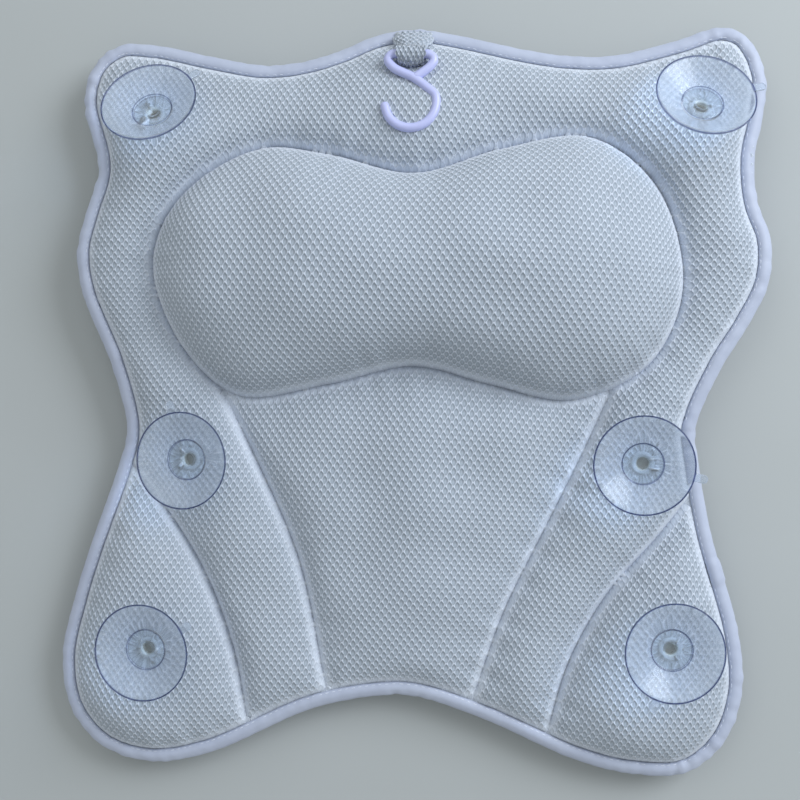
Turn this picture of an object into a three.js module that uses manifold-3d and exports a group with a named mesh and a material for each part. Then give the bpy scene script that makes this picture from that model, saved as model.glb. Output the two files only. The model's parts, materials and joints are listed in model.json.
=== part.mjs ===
// A bath pillow that lies on its front, with its six suction cups on top.
// Millimetres. X runs across the pillow, Y along it towards the hanging loop, Z up from the
// surface that it lies on. Two covers of spacer mesh are sewn together along a bound edge, a
// seam round the neck roll and four channels, and a soft fill plumps each compartment. The cups
// snap through eyelets in the back cover and spin there, and a hook swings in the hanging loop.

import * as THREE from 'three';
import { mergeVertices } from 'three/addons/utils/BufferGeometryUtils.js';
import Module from 'manifold-3d';

const wasm = await Module();
wasm.setup();

// Pillow
const PILLOW_WIDTH = 371;
const PILLOW_LENGTH = 402;
const COVER_THICKNESS = 2.6;
const EDGE_LIFT = 12; // height of the seam plane at the far corners
const BOW_RISE = 16; // how much higher that plane stands under the neck roll
const BOW_SPREAD_X = 220;
const BOW_SPREAD_Y = 110;
const BOW_CENTRE_Y = 75;
const REST_FLAT_DEPTH = 0.5; // how deep the table flattens each pad that lies on it
const CLEARANCE = 0.3; // between pieces that touch

// How far each compartment's back stands above its seams
const ROLL_CROWN = 36;
const PAD_CROWN = 15;
const WING_CROWN = 17;
const CROWNS = {
  neck_roll: ROLL_CROWN,
  frame: PAD_CROWN,
  centre: PAD_CROWN,
  left_wing: WING_CROWN,
  right_wing: WING_CROWN,
};

// Bound edge
const TAPE_THICKNESS = 1.2;
const TAPE_WIDTH = 6.1; // how far each leg of the folded tape reaches in over the covers
const TAPE_SHOULDER_SHARE = 0.8; // where its round edge starts, as a share of its half height
const TAPE_ROUND_SHARE = 0.7; // height of the corner in that round, as a share of the same
const LAP_LENGTH = 12; // where the tape's end laps over its start
const LAP_THICKNESS = 0.9;
const LAP_RAMP = 0.4;

// Hanging loop
const LOOP_WIDTH = 15;
const LOOP_LAYER = 1.3; // one thickness of the folded strip
const LOOP_SETBACK = 12.4; // from the edge seam to the wire that it holds
const LOOP_CENTRE_X = -3.5;
const LOOP_STEPS = 16;
const FOLD_STEPS = 9;
const FOLD_START_DEGREES = 45; // the fold's arc round the wire
const FOLD_END_DEGREES = 270;

// Hook, measured from the wire in the loop
const HOOK_WIRE = 4.7;
const HOOK_EYE_HALF = 12; // from the hook's middle to each corner of its eye
const HOOK_EYE_DEPTH = 12; // where the eye's end meets the shank
const HOOK_BOWL_RADIUS = 13.3;
const HOOK_BOWL_DROP = 26;
const HOOK_BOWL_OFFSET = 0.9; // from the eye's middle to the bowl's, towards the shank
const BOWL_START_DEGREES = -18; // the bowl's arc, from where the shank runs into it
const BOWL_END_DEGREES = 172;
const HOOK_SIDES = 8;
const HOOK_STEPS = 52;
const BOWL_STEPS = 7;
const EYE_SHARES = [ // from its end round the eye, of its half width and its depth
  [0.26, -1.02], [0.52, -0.83], [0.86, -0.54], [1.02, -0.22], [0.8, 0], [0.4, 0], [-0.4, 0], [-0.78, 0],
  [-0.97, -0.24], [-0.72, -0.6], [0.18, -1.05],
];
const SHANK_SHARES = [0.62, -0.66]; // a place on the shank, of the bowl's radius and its drop

// Suction cups
const CUP_RADIUS = 25;
const CUP_LIP = 1.7; // width of the flat rim that seals
const CUP_HOLLOW_DEPTH = 7;
const CUP_WALL = 1.9;
const CUP_BOSS_RADIUS = 10;
const CUP_BOSS_HEIGHT = 3.2;
const CUP_NECK_RADIUS = 3.2;
const CUP_HEAD_RADIUS = 6.8;
const CUP_HEAD_HEIGHT = 3;
const CUP_TAB_LENGTH = 6.5;
const CUP_TAB_WIDTH = 4.4;
const CUP_TAB_THICKNESS = 1.4;
const BELL_SHARES = [0.3, 0.62, 1]; // stations of the bell's curve, from its lip in to its boss
const BELL_DEPTH_SHARE = 0.92; // its depth where it meets the boss, as a share of the hollow's
const HEAD_POINT_SHARE = 0.7; // the head's end, as a share of its radius
const ROUND_SIDES = 24;
const SMALL_SIDES = 12;
const HOLE_SIDES = 8;
const TAB_STEPS = 6;

// Stitched eyelets that the cups' necks turn in
const EYELET_WALL = 0.8;
const EYELET_FLANGE = 1.5; // how far its rolled edges reach over the cover
const SEAT_RADIUS = 9.5; // level patch of the cover round each eyelet
const SEAT_SIDES = 6;

// Fills, drawn back from the seams
const FILL_SETBACK = 3.5;
const FILL_EDGE_SHARE = 0.4; // thickness of its edge, as a share of the room there
const FILL_EDGE_LEAST = 0.05;

// Facets of the soft pieces
const FACET = 20; // spacing along seams
const INNER_FACET = 25; // spacing away from them
const FACET_ROW_SHARE = 0.53; // first row beside a seam, as a share of FACET
const NARROW_SHARE = 0.66; // least spacing in the rows and in narrow pads, as a share of FACET
const CLOSEST_SHARE = 0.97;
const RIM_STEP = 1; // spacing of the places that distances to the outline are measured from
const SOLVE_STEP = 3; // grid on which the compartments are plumped
const SOLVE_ROUNDS = 260;
const OVER_RELAXATION = 1.93;
const FAR_TIMES = 8; // how far out the first triangle lies, in lengths of the pillow

// Places as shares of half the pillow's width and half its length, from its middle
const OUTLINE_SHARES = [
  [0.811, -0.052], [0.877, 0.109], [0.94, 0.21], [0.996, 0.325], [1, 0.438], [0.961, 0.539],
  [0.951, 0.651], [0.972, 0.758], [0.979, 0.872], [0.925, 0.975], [0.852, 1], [0.725, 0.962],
  [0.551, 0.92], [0.422, 0.918], [0.31, 0.932], [0.093, 0.974], [-0.018, 0.987], [-0.128, 0.969],
  [-0.231, 0.927], [-0.334, 0.897], [-0.449, 0.886], [-0.596, 0.908], [-0.778, 0.942],
  [-0.89, 0.942], [-0.965, 0.885], [-0.989, 0.782], [-0.933, 0.595], [-0.962, 0.483],
  [-0.986, 0.377], [-0.967, 0.264], [-0.87, 0.061], [-0.823, -0.105], [-0.844, -0.194],
  [-0.924, -0.417], [-0.968, -0.561], [-1, -0.725], [-0.968, -0.868], [-0.87, -0.965],
  [-0.722, -1], [-0.547, -0.967], [-0.246, -0.833], [-0.046, -0.789], [0.044, -0.787],
  [0.24, -0.836], [0.506, -0.93], [0.664, -0.958], [0.817, -0.947], [0.919, -0.864],
  [0.965, -0.736], [0.952, -0.583], [0.864, -0.316], [0.822, -0.132],
];
const ROLL_SEAM_SHARES = [
  [0.756, 0.356], [0.673, 0.574], [0.489, 0.695], [0.237, 0.657], [0, 0.589], [-0.245, 0.637],
  [-0.45, 0.65], [-0.679, 0.513], [-0.749, 0.338], [-0.65, 0.114], [-0.486, -0.004],
  [-0.224, 0.033], [0.017, 0.086], [0.23, 0.045], [0.456, 0.011], [0.65, 0.09], [0.735, 0.21],
];
const CHANNEL_SHARES = {
  inner_left: [[-0.545, 0.02], [-0.418, -0.199], [-0.301, -0.436], [-0.216, -0.76]],
  inner_right: [[0.575, 0.045], [0.5, -0.12], [0.399, -0.328], [0.294, -0.544], [0.217, -0.77]],
  outer_left: [[-0.79, -0.2], [-0.704, -0.303], [-0.58, -0.474], [-0.484, -0.685], [-0.453, -0.85]],
  outer_right: [[0.79, -0.23], [0.708, -0.343], [0.588, -0.479], [0.482, -0.666], [0.432, -0.85]],
};
const LAP_SHARES = [0.91, -0.45];
const COMPARTMENT_SHARES = {
  neck_roll: [0, 0.34],
  frame: [0, 0.76],
  centre: [0, -0.35],
  left_wing: [-0.7, -0.65],
  right_wing: [0.72, -0.6],
};

// Each cup's place, how far its axis leans out from upright, towards which side, and its tab
const CUPS = {
  upper_left: { placeShares: [-0.74, 0.719], lean: 25, leanTowards: 97, tab: 40 },
  upper_right: { placeShares: [0.779, 0.754], lean: 25, leanTowards: 78, tab: 14 },
  middle_left: { placeShares: [-0.608, -0.175], lean: 11, leanTowards: 195, tab: 103 },
  middle_right: { placeShares: [0.654, -0.143], lean: 6, leanTowards: 240, tab: -11 },
  lower_left: { placeShares: [-0.708, -0.671], lean: 6, leanTowards: 215, tab: 32 },
  lower_right: { placeShares: [0.743, -0.607], lean: 5, leanTowards: 330, tab: 250 },
};
const LEAN_SPREAD = 20; // how far round a cup the cover leans with it

// Materials
const FINISHES = {
  mesh: { color: '#e3e8ef', roughness: 0.85 },
  fill: { color: '#f4f4f2', roughness: 0.95 },
  tape: { color: '#eef1f8', roughness: 0.45 },
  thread: { color: '#eef1f8', roughness: 0.7 },
  hook: { color: '#dcdffb', roughness: 0.3 },
  cup: { color: '#cfdcea', roughness: 0.1 },
};

// Places and curves

const flat = (x, y) => new THREE.Vector2(x, y);
const atShare = ([x, y]) => flat((x * PILLOW_WIDTH) / 2, (y * PILLOW_LENGTH) / 2);
const radians = THREE.MathUtils.degToRad;
const polygon = (radius, sides) => Array.from({ length: sides }, (_, k) => {
  const turn = (2 * Math.PI * (k + 1 / 2)) / sides;
  return flat(radius * Math.cos(turn), radius * Math.sin(turn));
});

// Evenly spaced places on the smooth curve through a few points, no further apart than asked
function smoothCurve(points, closed, spacing) {
  const curve = new THREE.CatmullRomCurve3(points.map((p) => new THREE.Vector3(p.x, p.y, 0)), closed);
  const count = Math.ceil(curve.getLength() / spacing);
  const places = curve.getSpacedPoints(count).map((p) => flat(p.x, p.y));
  return closed ? places.slice(0, -1) : places;
}

// The way in at each point of a closed anticlockwise ring
const inwards = (ring) => ring.map((_, i) => {
  const before = ring[(i + ring.length - 1) % ring.length];
  const along = ring[(i + 1) % ring.length].clone().sub(before).normalize();
  return flat(-along.y, along.x);
});

function insetRing(ring, distance) {
  const ways = inwards(ring);
  return ring.map((point, i) => point.clone().addScaledVector(ways[i], distance));
}

function insideRing(ring, point) {
  let inside = false;
  ring.forEach((a, i) => {
    const b = ring[(i + 1) % ring.length];
    const crosses = a.y > point.y !== b.y > point.y;
    if (crosses && point.x < ((b.x - a.x) * (point.y - a.y)) / (b.y - a.y) + a.x) inside = !inside;
  });
  return inside;
}

const nearest = (places, point) => places.reduce(
  (best, place) => (place.distanceToSquared(point) < best.distanceToSquared(point) ? place : best),
);

// Height of the plane in which the covers are sewn together, bowed up under the neck roll
function seamHeight(p) {
  const spread = (p.x / BOW_SPREAD_X) ** 2 + ((p.y - BOW_CENTRE_Y) / BOW_SPREAD_Y) ** 2;
  return EDGE_LIFT + BOW_RISE * Math.exp(-spread);
}

// Sewn lines

const outline = smoothCurve(OUTLINE_SHARES.map(atShare), true, FACET);
const coverEdge = insetRing(outline, TAPE_THICKNESS + CLEARANCE);
const edgeSeam = insetRing(outline, TAPE_THICKNESS + TAPE_WIDTH + CLEARANCE);
const rollSeam = smoothCurve(ROLL_SEAM_SHARES.map(atShare), true, FACET);
const channels = Object.values(CHANNEL_SHARES).map((shares) => {
  const points = shares.map(atShare);
  const [start, end] = [points[0], points.at(-1)].map((p) => nearest([...edgeSeam, ...rollSeam], p));
  return smoothCurve([start, ...points.slice(1, -1), end], false, FACET);
});

// A line's points no further apart than a step, for measuring distances to it
function closeSteps(line, closed, step) {
  const places = [];
  line.forEach((a, i) => {
    if (!closed && i === line.length - 1) return;
    const b = line[(i + 1) % line.length];
    const count = Math.ceil(a.distanceTo(b) / step);
    for (let k = 0; k < count; k++) places.push(a.clone().lerp(b, k / count));
  });
  return places;
}

const seamSteps = [
  ...closeSteps(edgeSeam, true, SOLVE_STEP / 2),
  ...closeSteps(rollSeam, true, SOLVE_STEP / 2),
  ...channels.flatMap((line) => closeSteps(line, false, SOLVE_STEP / 2)),
];

// Plumpness of the compartments, as a membrane blown up between the seams, on a square grid

const gridColumns = Math.ceil(PILLOW_WIDTH / SOLVE_STEP) + 3;
const gridRows = Math.ceil(PILLOW_LENGTH / SOLVE_STEP) + 3;
const gridLow = flat(-SOLVE_STEP * (gridColumns / 2), -SOLVE_STEP * (gridRows / 2));
const gridPlace = (column, row) => flat(gridLow.x + column * SOLVE_STEP, gridLow.y + row * SOLVE_STEP);
const gridIndex = (p) => {
  const column = Math.round((p.x - gridLow.x) / SOLVE_STEP);
  return column + gridColumns * Math.round((p.y - gridLow.y) / SOLVE_STEP);
};

// Labels each grid cell with its compartment, by flooding out from a place inside each
function labelCompartments() {
  const labels = new Array(gridColumns * gridRows).fill(null);
  for (let row = 0; row < gridRows; row++) {
    for (let column = 0; column < gridColumns; column++) {
      const inside = insideRing(edgeSeam, gridPlace(column, row));
      labels[column + gridColumns * row] = inside ? 'open' : 'sewn';
    }
  }
  for (const step of seamSteps) labels[gridIndex(step)] = 'sewn';
  for (const [name, shares] of Object.entries(COMPARTMENT_SHARES)) {
    const waiting = [gridIndex(atShare(shares))];
    while (waiting.length) {
      const cell = waiting.pop();
      if (labels[cell] !== 'open') continue;
      labels[cell] = name;
      waiting.push(cell - 1, cell + 1, cell - gridColumns, cell + gridColumns);
    }
  }
  return labels;
}

function plumpMembrane(labels) {
  const height = new Float64Array(labels.length);
  const free = labels.map((label, cell) => (label in CROWNS ? cell : -1)).filter((cell) => cell >= 0);
  for (let round = 0; round < SOLVE_ROUNDS; round++) {
    for (const cell of free) {
      const beside = height[cell - 1] + height[cell + 1];
      const aboveAndBelow = height[cell - gridColumns] + height[cell + gridColumns];
      const mean = (beside + aboveAndBelow + SOLVE_STEP ** 2) / 4;
      height[cell] += OVER_RELAXATION * (mean - height[cell]);
    }
  }
  return height;
}

const labels = labelCompartments();
const membrane = plumpMembrane(labels);

// The membrane's value between grid places; its square root gives a pad its round sides
function plumpness(p) {
  const column = (p.x - gridLow.x) / SOLVE_STEP;
  const row = (p.y - gridLow.y) / SOLVE_STEP;
  const [i, j] = [Math.floor(column), Math.floor(row)];
  const [u, v] = [column - i, row - j];
  const at = (a, b) => membrane[i + a + gridColumns * (j + b)];
  const low = at(0, 0) * (1 - u) + at(1, 0) * u;
  const high = at(0, 1) * (1 - u) + at(1, 1) * u;
  return Math.sqrt(Math.max(0, low * (1 - v) + high * v));
}

// Triangles of the sewn cloth, seen from above

const seats = Object.values(CUPS).map(({ placeShares }) => atShare(placeShares));
const rowGap = FACET * FACET_ROW_SHARE;
const seatRing = (centre) => Array.from({ length: SEAT_SIDES }, (_, k) => {
  const turn = (2 * Math.PI * k) / SEAT_SIDES;
  return flat(centre.x + SEAT_RADIUS * Math.cos(turn), centre.y + SEAT_RADIUS * Math.sin(turn));
});

// Places on both sides of a sewn line, opposite the middles of its steps
function besideLine(line, closed) {
  return line.flatMap((a, i) => {
    if (!closed && i === line.length - 1) return [];
    const b = line[(i + 1) % line.length];
    const along = b.clone().sub(a).normalize();
    const middle = a.clone().lerp(b, 1 / 2);
    return [-rowGap, rowGap].map((side) => flat(middle.x - along.y * side, middle.y + along.x * side));
  });
}

// Places between the seams: a row beside every seam first, then down the middle of narrow pads,
// then wider apart
function innerPlaces(taken) {
  const gapAt = (p) => nearest(seamSteps, p).distanceTo(p);
  const isRidge = (p, gap) => [flat(SOLVE_STEP, 0), flat(0, SOLVE_STEP)].some(
    (step) => gapAt(p.clone().add(step)) <= gap && gapAt(p.clone().sub(step)) <= gap,
  );
  const lines = [[edgeSeam, true], [rollSeam, true], ...channels.map((line) => [line, false])];
  const rows = lines.flatMap(([line, closed]) => besideLine(line, closed));
  const ranked = rows.map((place) => ({ place, rank: 0 }));
  for (let row = 0; row < gridRows; row++) {
    for (let column = 0; column < gridColumns; column++) {
      ranked.push({ place: gridPlace(column + (row % 2) / 2, row), rank: 1 });
    }
  }
  const candidates = ranked
    .filter(({ place }) => insideRing(edgeSeam, place))
    .map(({ place, rank }) => ({ place, rank, gap: gapAt(place) }))
    .filter(({ gap }) => gap > rowGap * CLOSEST_SHARE);
  for (const candidate of candidates) {
    const { place, gap, rank } = candidate;
    const narrow = gap < FACET && (rank === 0 || isRidge(place, gap));
    candidate.spacing = narrow ? FACET * NARROW_SHARE : INNER_FACET;
    candidate.rank = rank && !narrow ? 2 : rank;
  }
  candidates.sort((a, b) => a.rank - b.rank || a.gap - b.gap);
  const places = [];
  for (const { place, spacing } of candidates) {
    const apart = (others, least) => others.every((other) => other.distanceTo(place) > least);
    if (apart(taken, rowGap * CLOSEST_SHARE) && apart(places, spacing)) places.push(place);
  }
  return places;
}

function circled(points, corners) {
  const [a, b, c] = corners.map((i) => points[i]);
  const [bx, by, cx, cy] = [b.x - a.x, b.y - a.y, c.x - a.x, c.y - a.y];
  const twice = 2 * (bx * cy - by * cx);
  const x = (cy * (bx ** 2 + by ** 2) - by * (cx ** 2 + cy ** 2)) / twice;
  const y = (bx * (cx ** 2 + cy ** 2) - cx * (bx ** 2 + by ** 2)) / twice;
  return { corners, centre: flat(a.x + x, a.y + y), radiusSquared: x ** 2 + y ** 2 };
}

// Joins places into triangles, none of whose circles holds another place
function joinPlaces(places) {
  const far = FAR_TIMES * (PILLOW_WIDTH + PILLOW_LENGTH);
  const points = [...places, flat(-far, -far), flat(far, -far), flat(0, far)];
  const first = places.length;
  let triangles = [circled(points, [first, first + 1, first + 2])];
  places.forEach((place, index) => {
    const open = new Map();
    triangles = triangles.filter(({ corners, centre, radiusSquared }) => {
      if (centre.distanceToSquared(place) > radiusSquared) return true;
      corners.forEach((a, k) => {
        const b = corners[(k + 1) % 3];
        if (!open.delete(`${b} ${a}`)) open.set(`${a} ${b}`, [a, b]);
      });
      return false;
    });
    for (const [a, b] of open.values()) triangles.push(circled(points, [a, b, index]));
  });
  return triangles.map(({ corners }) => corners).filter((corners) => corners.every((i) => i < first));
}

const sewn = [...edgeSeam, ...rollSeam, ...channels.flat()].filter(
  (p, i, places) => places.findIndex((q) => q.distanceTo(p) < CLEARANCE) === i,
);
const seatPlaces = seats.flatMap((centre) => [centre, ...seatRing(centre)]);
const cloth = [...sewn, ...seatPlaces, ...innerPlaces([...sewn, ...seatPlaces])];
const middleOf = (corners) => corners.reduce((sum, i) => sum.add(cloth[i]), flat(0, 0)).divideScalar(3);
const padTriangles = joinPlaces(cloth).filter((corners) => insideRing(edgeSeam, middleOf(corners)));

// The flat margin of the covers, which the tape folds over
const marginStart = cloth.length;
cloth.push(...coverEdge);
const marginTriangles = coverEdge.flatMap((_, i) => {
  const next = (i + 1) % coverEdge.length;
  return [[i, marginStart + i, marginStart + next], [i, marginStart + next, next]];
});
const clothTriangles = [...padTriangles, ...marginTriangles];
const isSewn = (i) => i < sewn.length || i >= marginStart;

// Heights of the cloth's places

const compartmentAt = (p) => labels[gridIndex(p)];
const compartmentOf = cloth.map((p, i) => (isSewn(i) ? null : compartmentAt(p)));
const fullness = cloth.map((p, i) => (isSewn(i) ? 0 : plumpness(p)));
const marginHeight = CLEARANCE / 2 + COVER_THICKNESS;
const crownPlace = Object.fromEntries(Object.keys(CROWNS).map((name) => {
  const own = cloth.map((_, i) => i).filter((i) => compartmentOf[i] === name);
  return [name, own.reduce((best, i) => (fullness[i] > fullness[best] ? i : best), own[0])];
}));

function crownHeight(i) {
  const name = compartmentOf[i];
  return name in CROWNS ? (CROWNS[name] * fullness[i]) / fullness[crownPlace[name]] : 0;
}

// Every pad hangs down just far enough for the table to flatten its lowest place
const frontScale = Object.fromEntries(Object.keys(CROWNS).map((name) => {
  const own = cloth.map((_, i) => i).filter((i) => compartmentOf[i] === name);
  const room = (i) => seamHeight(cloth[i]) - marginHeight + REST_FLAT_DEPTH;
  return [name, Math.min(...own.map((i) => room(i) / fullness[i]))];
}));
const frontHeights = cloth.map((p, i) => {
  const drop = compartmentOf[i] in CROWNS ? frontScale[compartmentOf[i]] * fullness[i] : 0;
  return seamHeight(p) - marginHeight - drop;
});
const backHeights = cloth.map((p, i) => seamHeight(p) + marginHeight + crownHeight(i));

// Height on the triangles at a place, for what lies on them
function heightOn(triangles, points, heights, p) {
  for (const [a, b, c] of triangles) {
    const [pa, pb, pc] = [points[a], points[b], points[c]];
    const whole = (pb.x - pa.x) * (pc.y - pa.y) - (pc.x - pa.x) * (pb.y - pa.y);
    const v = ((p.x - pa.x) * (pc.y - pa.y) - (pc.x - pa.x) * (p.y - pa.y)) / whole;
    const w = ((pb.x - pa.x) * (p.y - pa.y) - (p.x - pa.x) * (pb.y - pa.y)) / whole;
    const u = 1 - v - w;
    if (u >= 0 && v >= 0 && w >= 0) return heights[a] * u + heights[b] * v + heights[c] * w;
  }
  return -Infinity;
}
const backHeight = (p) => heightOn(clothTriangles, cloth, backHeights, p);

// Leans the back cover with each cup, and levels the seat that its eyelet sits in
const cupFrames = Object.entries(CUPS).map(([name, cup], index) => {
  const centre = seats[index];
  const centreIndex = sewn.length + index * (SEAT_SIDES + 1);
  const axis = new THREE.Vector3(0, 0, 1)
    .applyAxisAngle(new THREE.Vector3(0, 1, 0), radians(cup.lean))
    .applyAxisAngle(new THREE.Vector3(0, 0, 1), radians(cup.leanTowards));
  const slope = flat(-axis.x / axis.z, -axis.y / axis.z);
  const ring = Array.from({ length: SEAT_SIDES }, (_, k) => centreIndex + 1 + k);
  const level = backHeights[centreIndex];
  const bowed = ring.reduce((sum, i) => {
    const away = cloth[i].clone().sub(centre);
    return sum.addScaledVector(away, (2 * (backHeights[i] - level)) / (SEAT_SIDES * SEAT_RADIUS ** 2));
  }, flat(0, 0));
  return { name, cup, centre, axis, slope, extra: slope.clone().sub(bowed), ring, level };
});
for (const { centre, extra } of cupFrames) {
  cloth.forEach((p, i) => {
    if (isSewn(i)) return;
    const away = p.clone().sub(centre);
    backHeights[i] += extra.dot(away) * Math.exp(-away.lengthSq() / (2 * LEAN_SPREAD ** 2));
  });
}
for (const { centre, slope, ring, level } of cupFrames) {
  for (const i of ring) backHeights[i] = level + slope.dot(cloth[i].clone().sub(centre));
}

// Solids

const solidOf = (geometry) => {
  const bare = geometry.clone();
  bare.deleteAttribute('normal');
  bare.deleteAttribute('uv');
  const merged = mergeVertices(bare);
  const mesh = new wasm.Mesh({
    numProp: 3,
    vertProperties: new Float32Array(merged.attributes.position.array),
    triVerts: new Uint32Array(merged.index.array),
  });
  return new wasm.Manifold(mesh);
};

const geometryOf = (solid) => {
  const { vertProperties, triVerts } = solid.getMesh();
  const geometry = new THREE.BufferGeometry();
  geometry.setAttribute('position', new THREE.BufferAttribute(new Float32Array(vertProperties), 3));
  geometry.setIndex(new THREE.BufferAttribute(new Uint32Array(triVerts), 1));
  return geometry;
};

function geometryFrom(vertices, triangles) {
  const geometry = new THREE.BufferGeometry();
  geometry.setAttribute('position', new THREE.Float32BufferAttribute(vertices.flat(), 3));
  geometry.setIndex(triangles.flat());
  return geometry;
}

// The edges that only one triangle has, each with the triangle on its left
function boundary(triangles) {
  const edges = new Map();
  for (const [a, b, c] of triangles) {
    for (const [s, e] of [[a, b], [b, c], [c, a]]) {
      if (!edges.delete(`${e} ${s}`)) edges.set(`${s} ${e}`, [s, e]);
    }
  }
  return [...edges.values()];
}

// A closed body between two heights at each place, walled where its triangles end
function slab(points, triangles, tops, bottoms) {
  const used = [...new Set(triangles.flat())];
  const order = new Map(used.map((i, k) => [i, k]));
  const count = used.length;
  const vertices = [
    ...used.map((i) => [points[i].x, points[i].y, tops[i]]),
    ...used.map((i) => [points[i].x, points[i].y, bottoms[i]]),
  ];
  const ordered = triangles.map((corners) => corners.map((i) => order.get(i)));
  const faces = ordered.flatMap(([a, b, c]) => [[a, b, c], [a + count, c + count, b + count]]);
  for (const [s, e] of boundary(ordered)) faces.push([s, s + count, e + count], [s, e + count, e]);
  return geometryFrom(vertices, faces);
}

// A pin from one height to another along a cup's axis, for cutting
function cutter(frame, radius, low, high, sides) {
  const pin = new THREE.CylinderGeometry(radius, radius, high - low, sides);
  pin.rotateX(Math.PI / 2);
  pin.translate(0, 0, (high + low) / 2);
  pin.applyMatrix4(cupMatrix(frame));
  return solidOf(pin);
}

function cupMatrix({ centre, axis, level }) {
  const turn = new THREE.Quaternion().setFromUnitVectors(new THREE.Vector3(0, 0, 1), axis);
  const place = new THREE.Vector3(centre.x, centre.y, level);
  return new THREE.Matrix4().compose(place, turn, new THREE.Vector3(1, 1, 1));
}

// Heights along a cup's axis, from the cover's outer face
const eyeletTop = CLEARANCE + EYELET_WALL;
const eyeletBottom = -COVER_THICKNESS - CLEARANCE - EYELET_WALL;
const bossBottom = eyeletTop + CLEARANCE;
const hollowFloor = bossBottom + CUP_BOSS_HEIGHT;
const rimTop = hollowFloor + CUP_HOLLOW_DEPTH;
const headTop = eyeletBottom - CLEARANCE;
const headBottom = headTop - CUP_HEAD_HEIGHT;
const eyeletBore = CUP_NECK_RADIUS + CLEARANCE;
const eyeletBarrel = eyeletBore + EYELET_WALL;
const holeRadius = (eyeletBarrel + CLEARANCE) / Math.cos(Math.PI / HOLE_SIDES);
const pocketBottom = headBottom - CLEARANCE;
const pocketRadius = CUP_HEAD_RADIUS + 2 * CLEARANCE;

function backCover() {
  const undersides = backHeights.map((z) => z - COVER_THICKNESS);
  let solid = solidOf(slab(cloth, clothTriangles, backHeights, undersides));
  for (const frame of cupFrames) {
    solid = solid.subtract(cutter(frame, holeRadius, pocketBottom, hollowFloor, HOLE_SIDES));
  }
  return geometryOf(solid);
}

function frontCover() {
  const insides = frontHeights.map((z) => z + COVER_THICKNESS);
  const solid = solidOf(slab(cloth, clothTriangles, insides, frontHeights));
  const table = new THREE.BoxGeometry(2 * PILLOW_WIDTH, 2 * PILLOW_LENGTH, EDGE_LIFT);
  table.translate(0, 0, -EDGE_LIFT / 2);
  return geometryOf(solid.subtract(solidOf(table)));
}

// The soft fill of one compartment, drawn back from its seams, with pockets for the cups' heads
function fill(name) {
  const own = padTriangles.filter((corners) => corners.some((i) => compartmentOf[i] === name));
  const roomTops = backHeights.map((z) => z - COVER_THICKNESS - CLEARANCE);
  const roomBottoms = frontHeights.map((z) => z + COVER_THICKNESS + CLEARANCE);
  const [points, tops, bottoms] = [cloth.map((p) => p.clone()), [...roomTops], [...roomBottoms]];
  const edges = boundary(own);
  const before = new Map(edges.map(([s, e]) => [e, s]));
  for (const [i, next] of edges) {
    const along = cloth[next].clone().sub(cloth[before.get(i)]).normalize();
    points[i].add(flat(-along.y, along.x).multiplyScalar(FILL_SETBACK));
    const level = seamHeight(points[i]);
    const room = (heights) => Math.abs(heightOn(own, cloth, heights, points[i]) - level);
    tops[i] = level + Math.max(FILL_EDGE_SHARE * room(roomTops), FILL_EDGE_LEAST);
    bottoms[i] = level - Math.max(FILL_EDGE_SHARE * room(roomBottoms), FILL_EDGE_LEAST);
  }
  let solid = solidOf(slab(points, own, tops, bottoms));
  for (const frame of cupFrames.filter(({ centre }) => compartmentAt(centre) === name)) {
    solid = solid.subtract(cutter(frame, pocketRadius, pocketBottom, hollowFloor, SMALL_SIDES));
  }
  return geometryOf(solid);
}

// Closed rings of points joined into a ring-shaped or capped body
function skin(rings, closed) {
  const sides = rings[0].length;
  const faces = [];
  const last = closed ? rings.length : rings.length - 1;
  for (let i = 0; i < last; i++) {
    const [here, next] = [i * sides, ((i + 1) % rings.length) * sides];
    for (let k = 0; k < sides; k++) {
      const after = (k + 1) % sides;
      faces.push([here + k, here + after, next + after], [here + k, next + after, next + k]);
    }
  }
  return geometryFrom(rings.flat(), faces);
}

// The tape's folded section at a place on the outline, looking along it
function tapeSection(place, inward, lap) {
  const innerHeight = marginHeight + CLEARANCE;
  const outerHeight = innerHeight + TAPE_THICKNESS + lap;
  const reach = TAPE_THICKNESS + TAPE_WIDTH;
  const shoulder = TAPE_SHOULDER_SHARE * outerHeight;
  const rounded = (1 - TAPE_ROUND_SHARE) * shoulder - lap;
  const roundHeight = TAPE_ROUND_SHARE * outerHeight;
  const section = [
    [reach, innerHeight], [reach, outerHeight], [shoulder, outerHeight], [rounded, roundHeight],
    [-lap, 0], [rounded, -roundHeight], [shoulder, -outerHeight], [reach, -outerHeight],
    [reach, -innerHeight], [TAPE_THICKNESS, -innerHeight], [TAPE_THICKNESS, innerHeight],
  ];
  return section.map(([depth, height]) => {
    const p = place.clone().addScaledVector(inward, depth);
    return [p.x, p.y, seamHeight(p) + height];
  });
}

function edgeBinding() {
  const ways = inwards(outline);
  const lapStart = outline.indexOf(nearest(outline, atShare(LAP_SHARES)));
  const rings = [];
  outline.forEach((place, i) => {
    const next = (i + 1) % outline.length;
    const length = place.distanceTo(outline[next]);
    const lapped = i === lapStart;
    const stops = lapped ? [[0, 0], [LAP_RAMP, 1], [LAP_LENGTH, 1], [LAP_LENGTH + LAP_RAMP, 0]] : [[0, 0]];
    for (const [distance, lap] of stops) {
      const at = Math.min(distance / length, 1);
      const here = place.clone().lerp(outline[next], at);
      rings.push(tapeSection(here, ways[i].clone().lerp(ways[next], at), lap * LAP_THICKNESS));
    }
  });
  return skin(rings, true);
}

// Hook, drawn flat with the wire in the loop along X through the origin and the bowl at -Y

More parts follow.
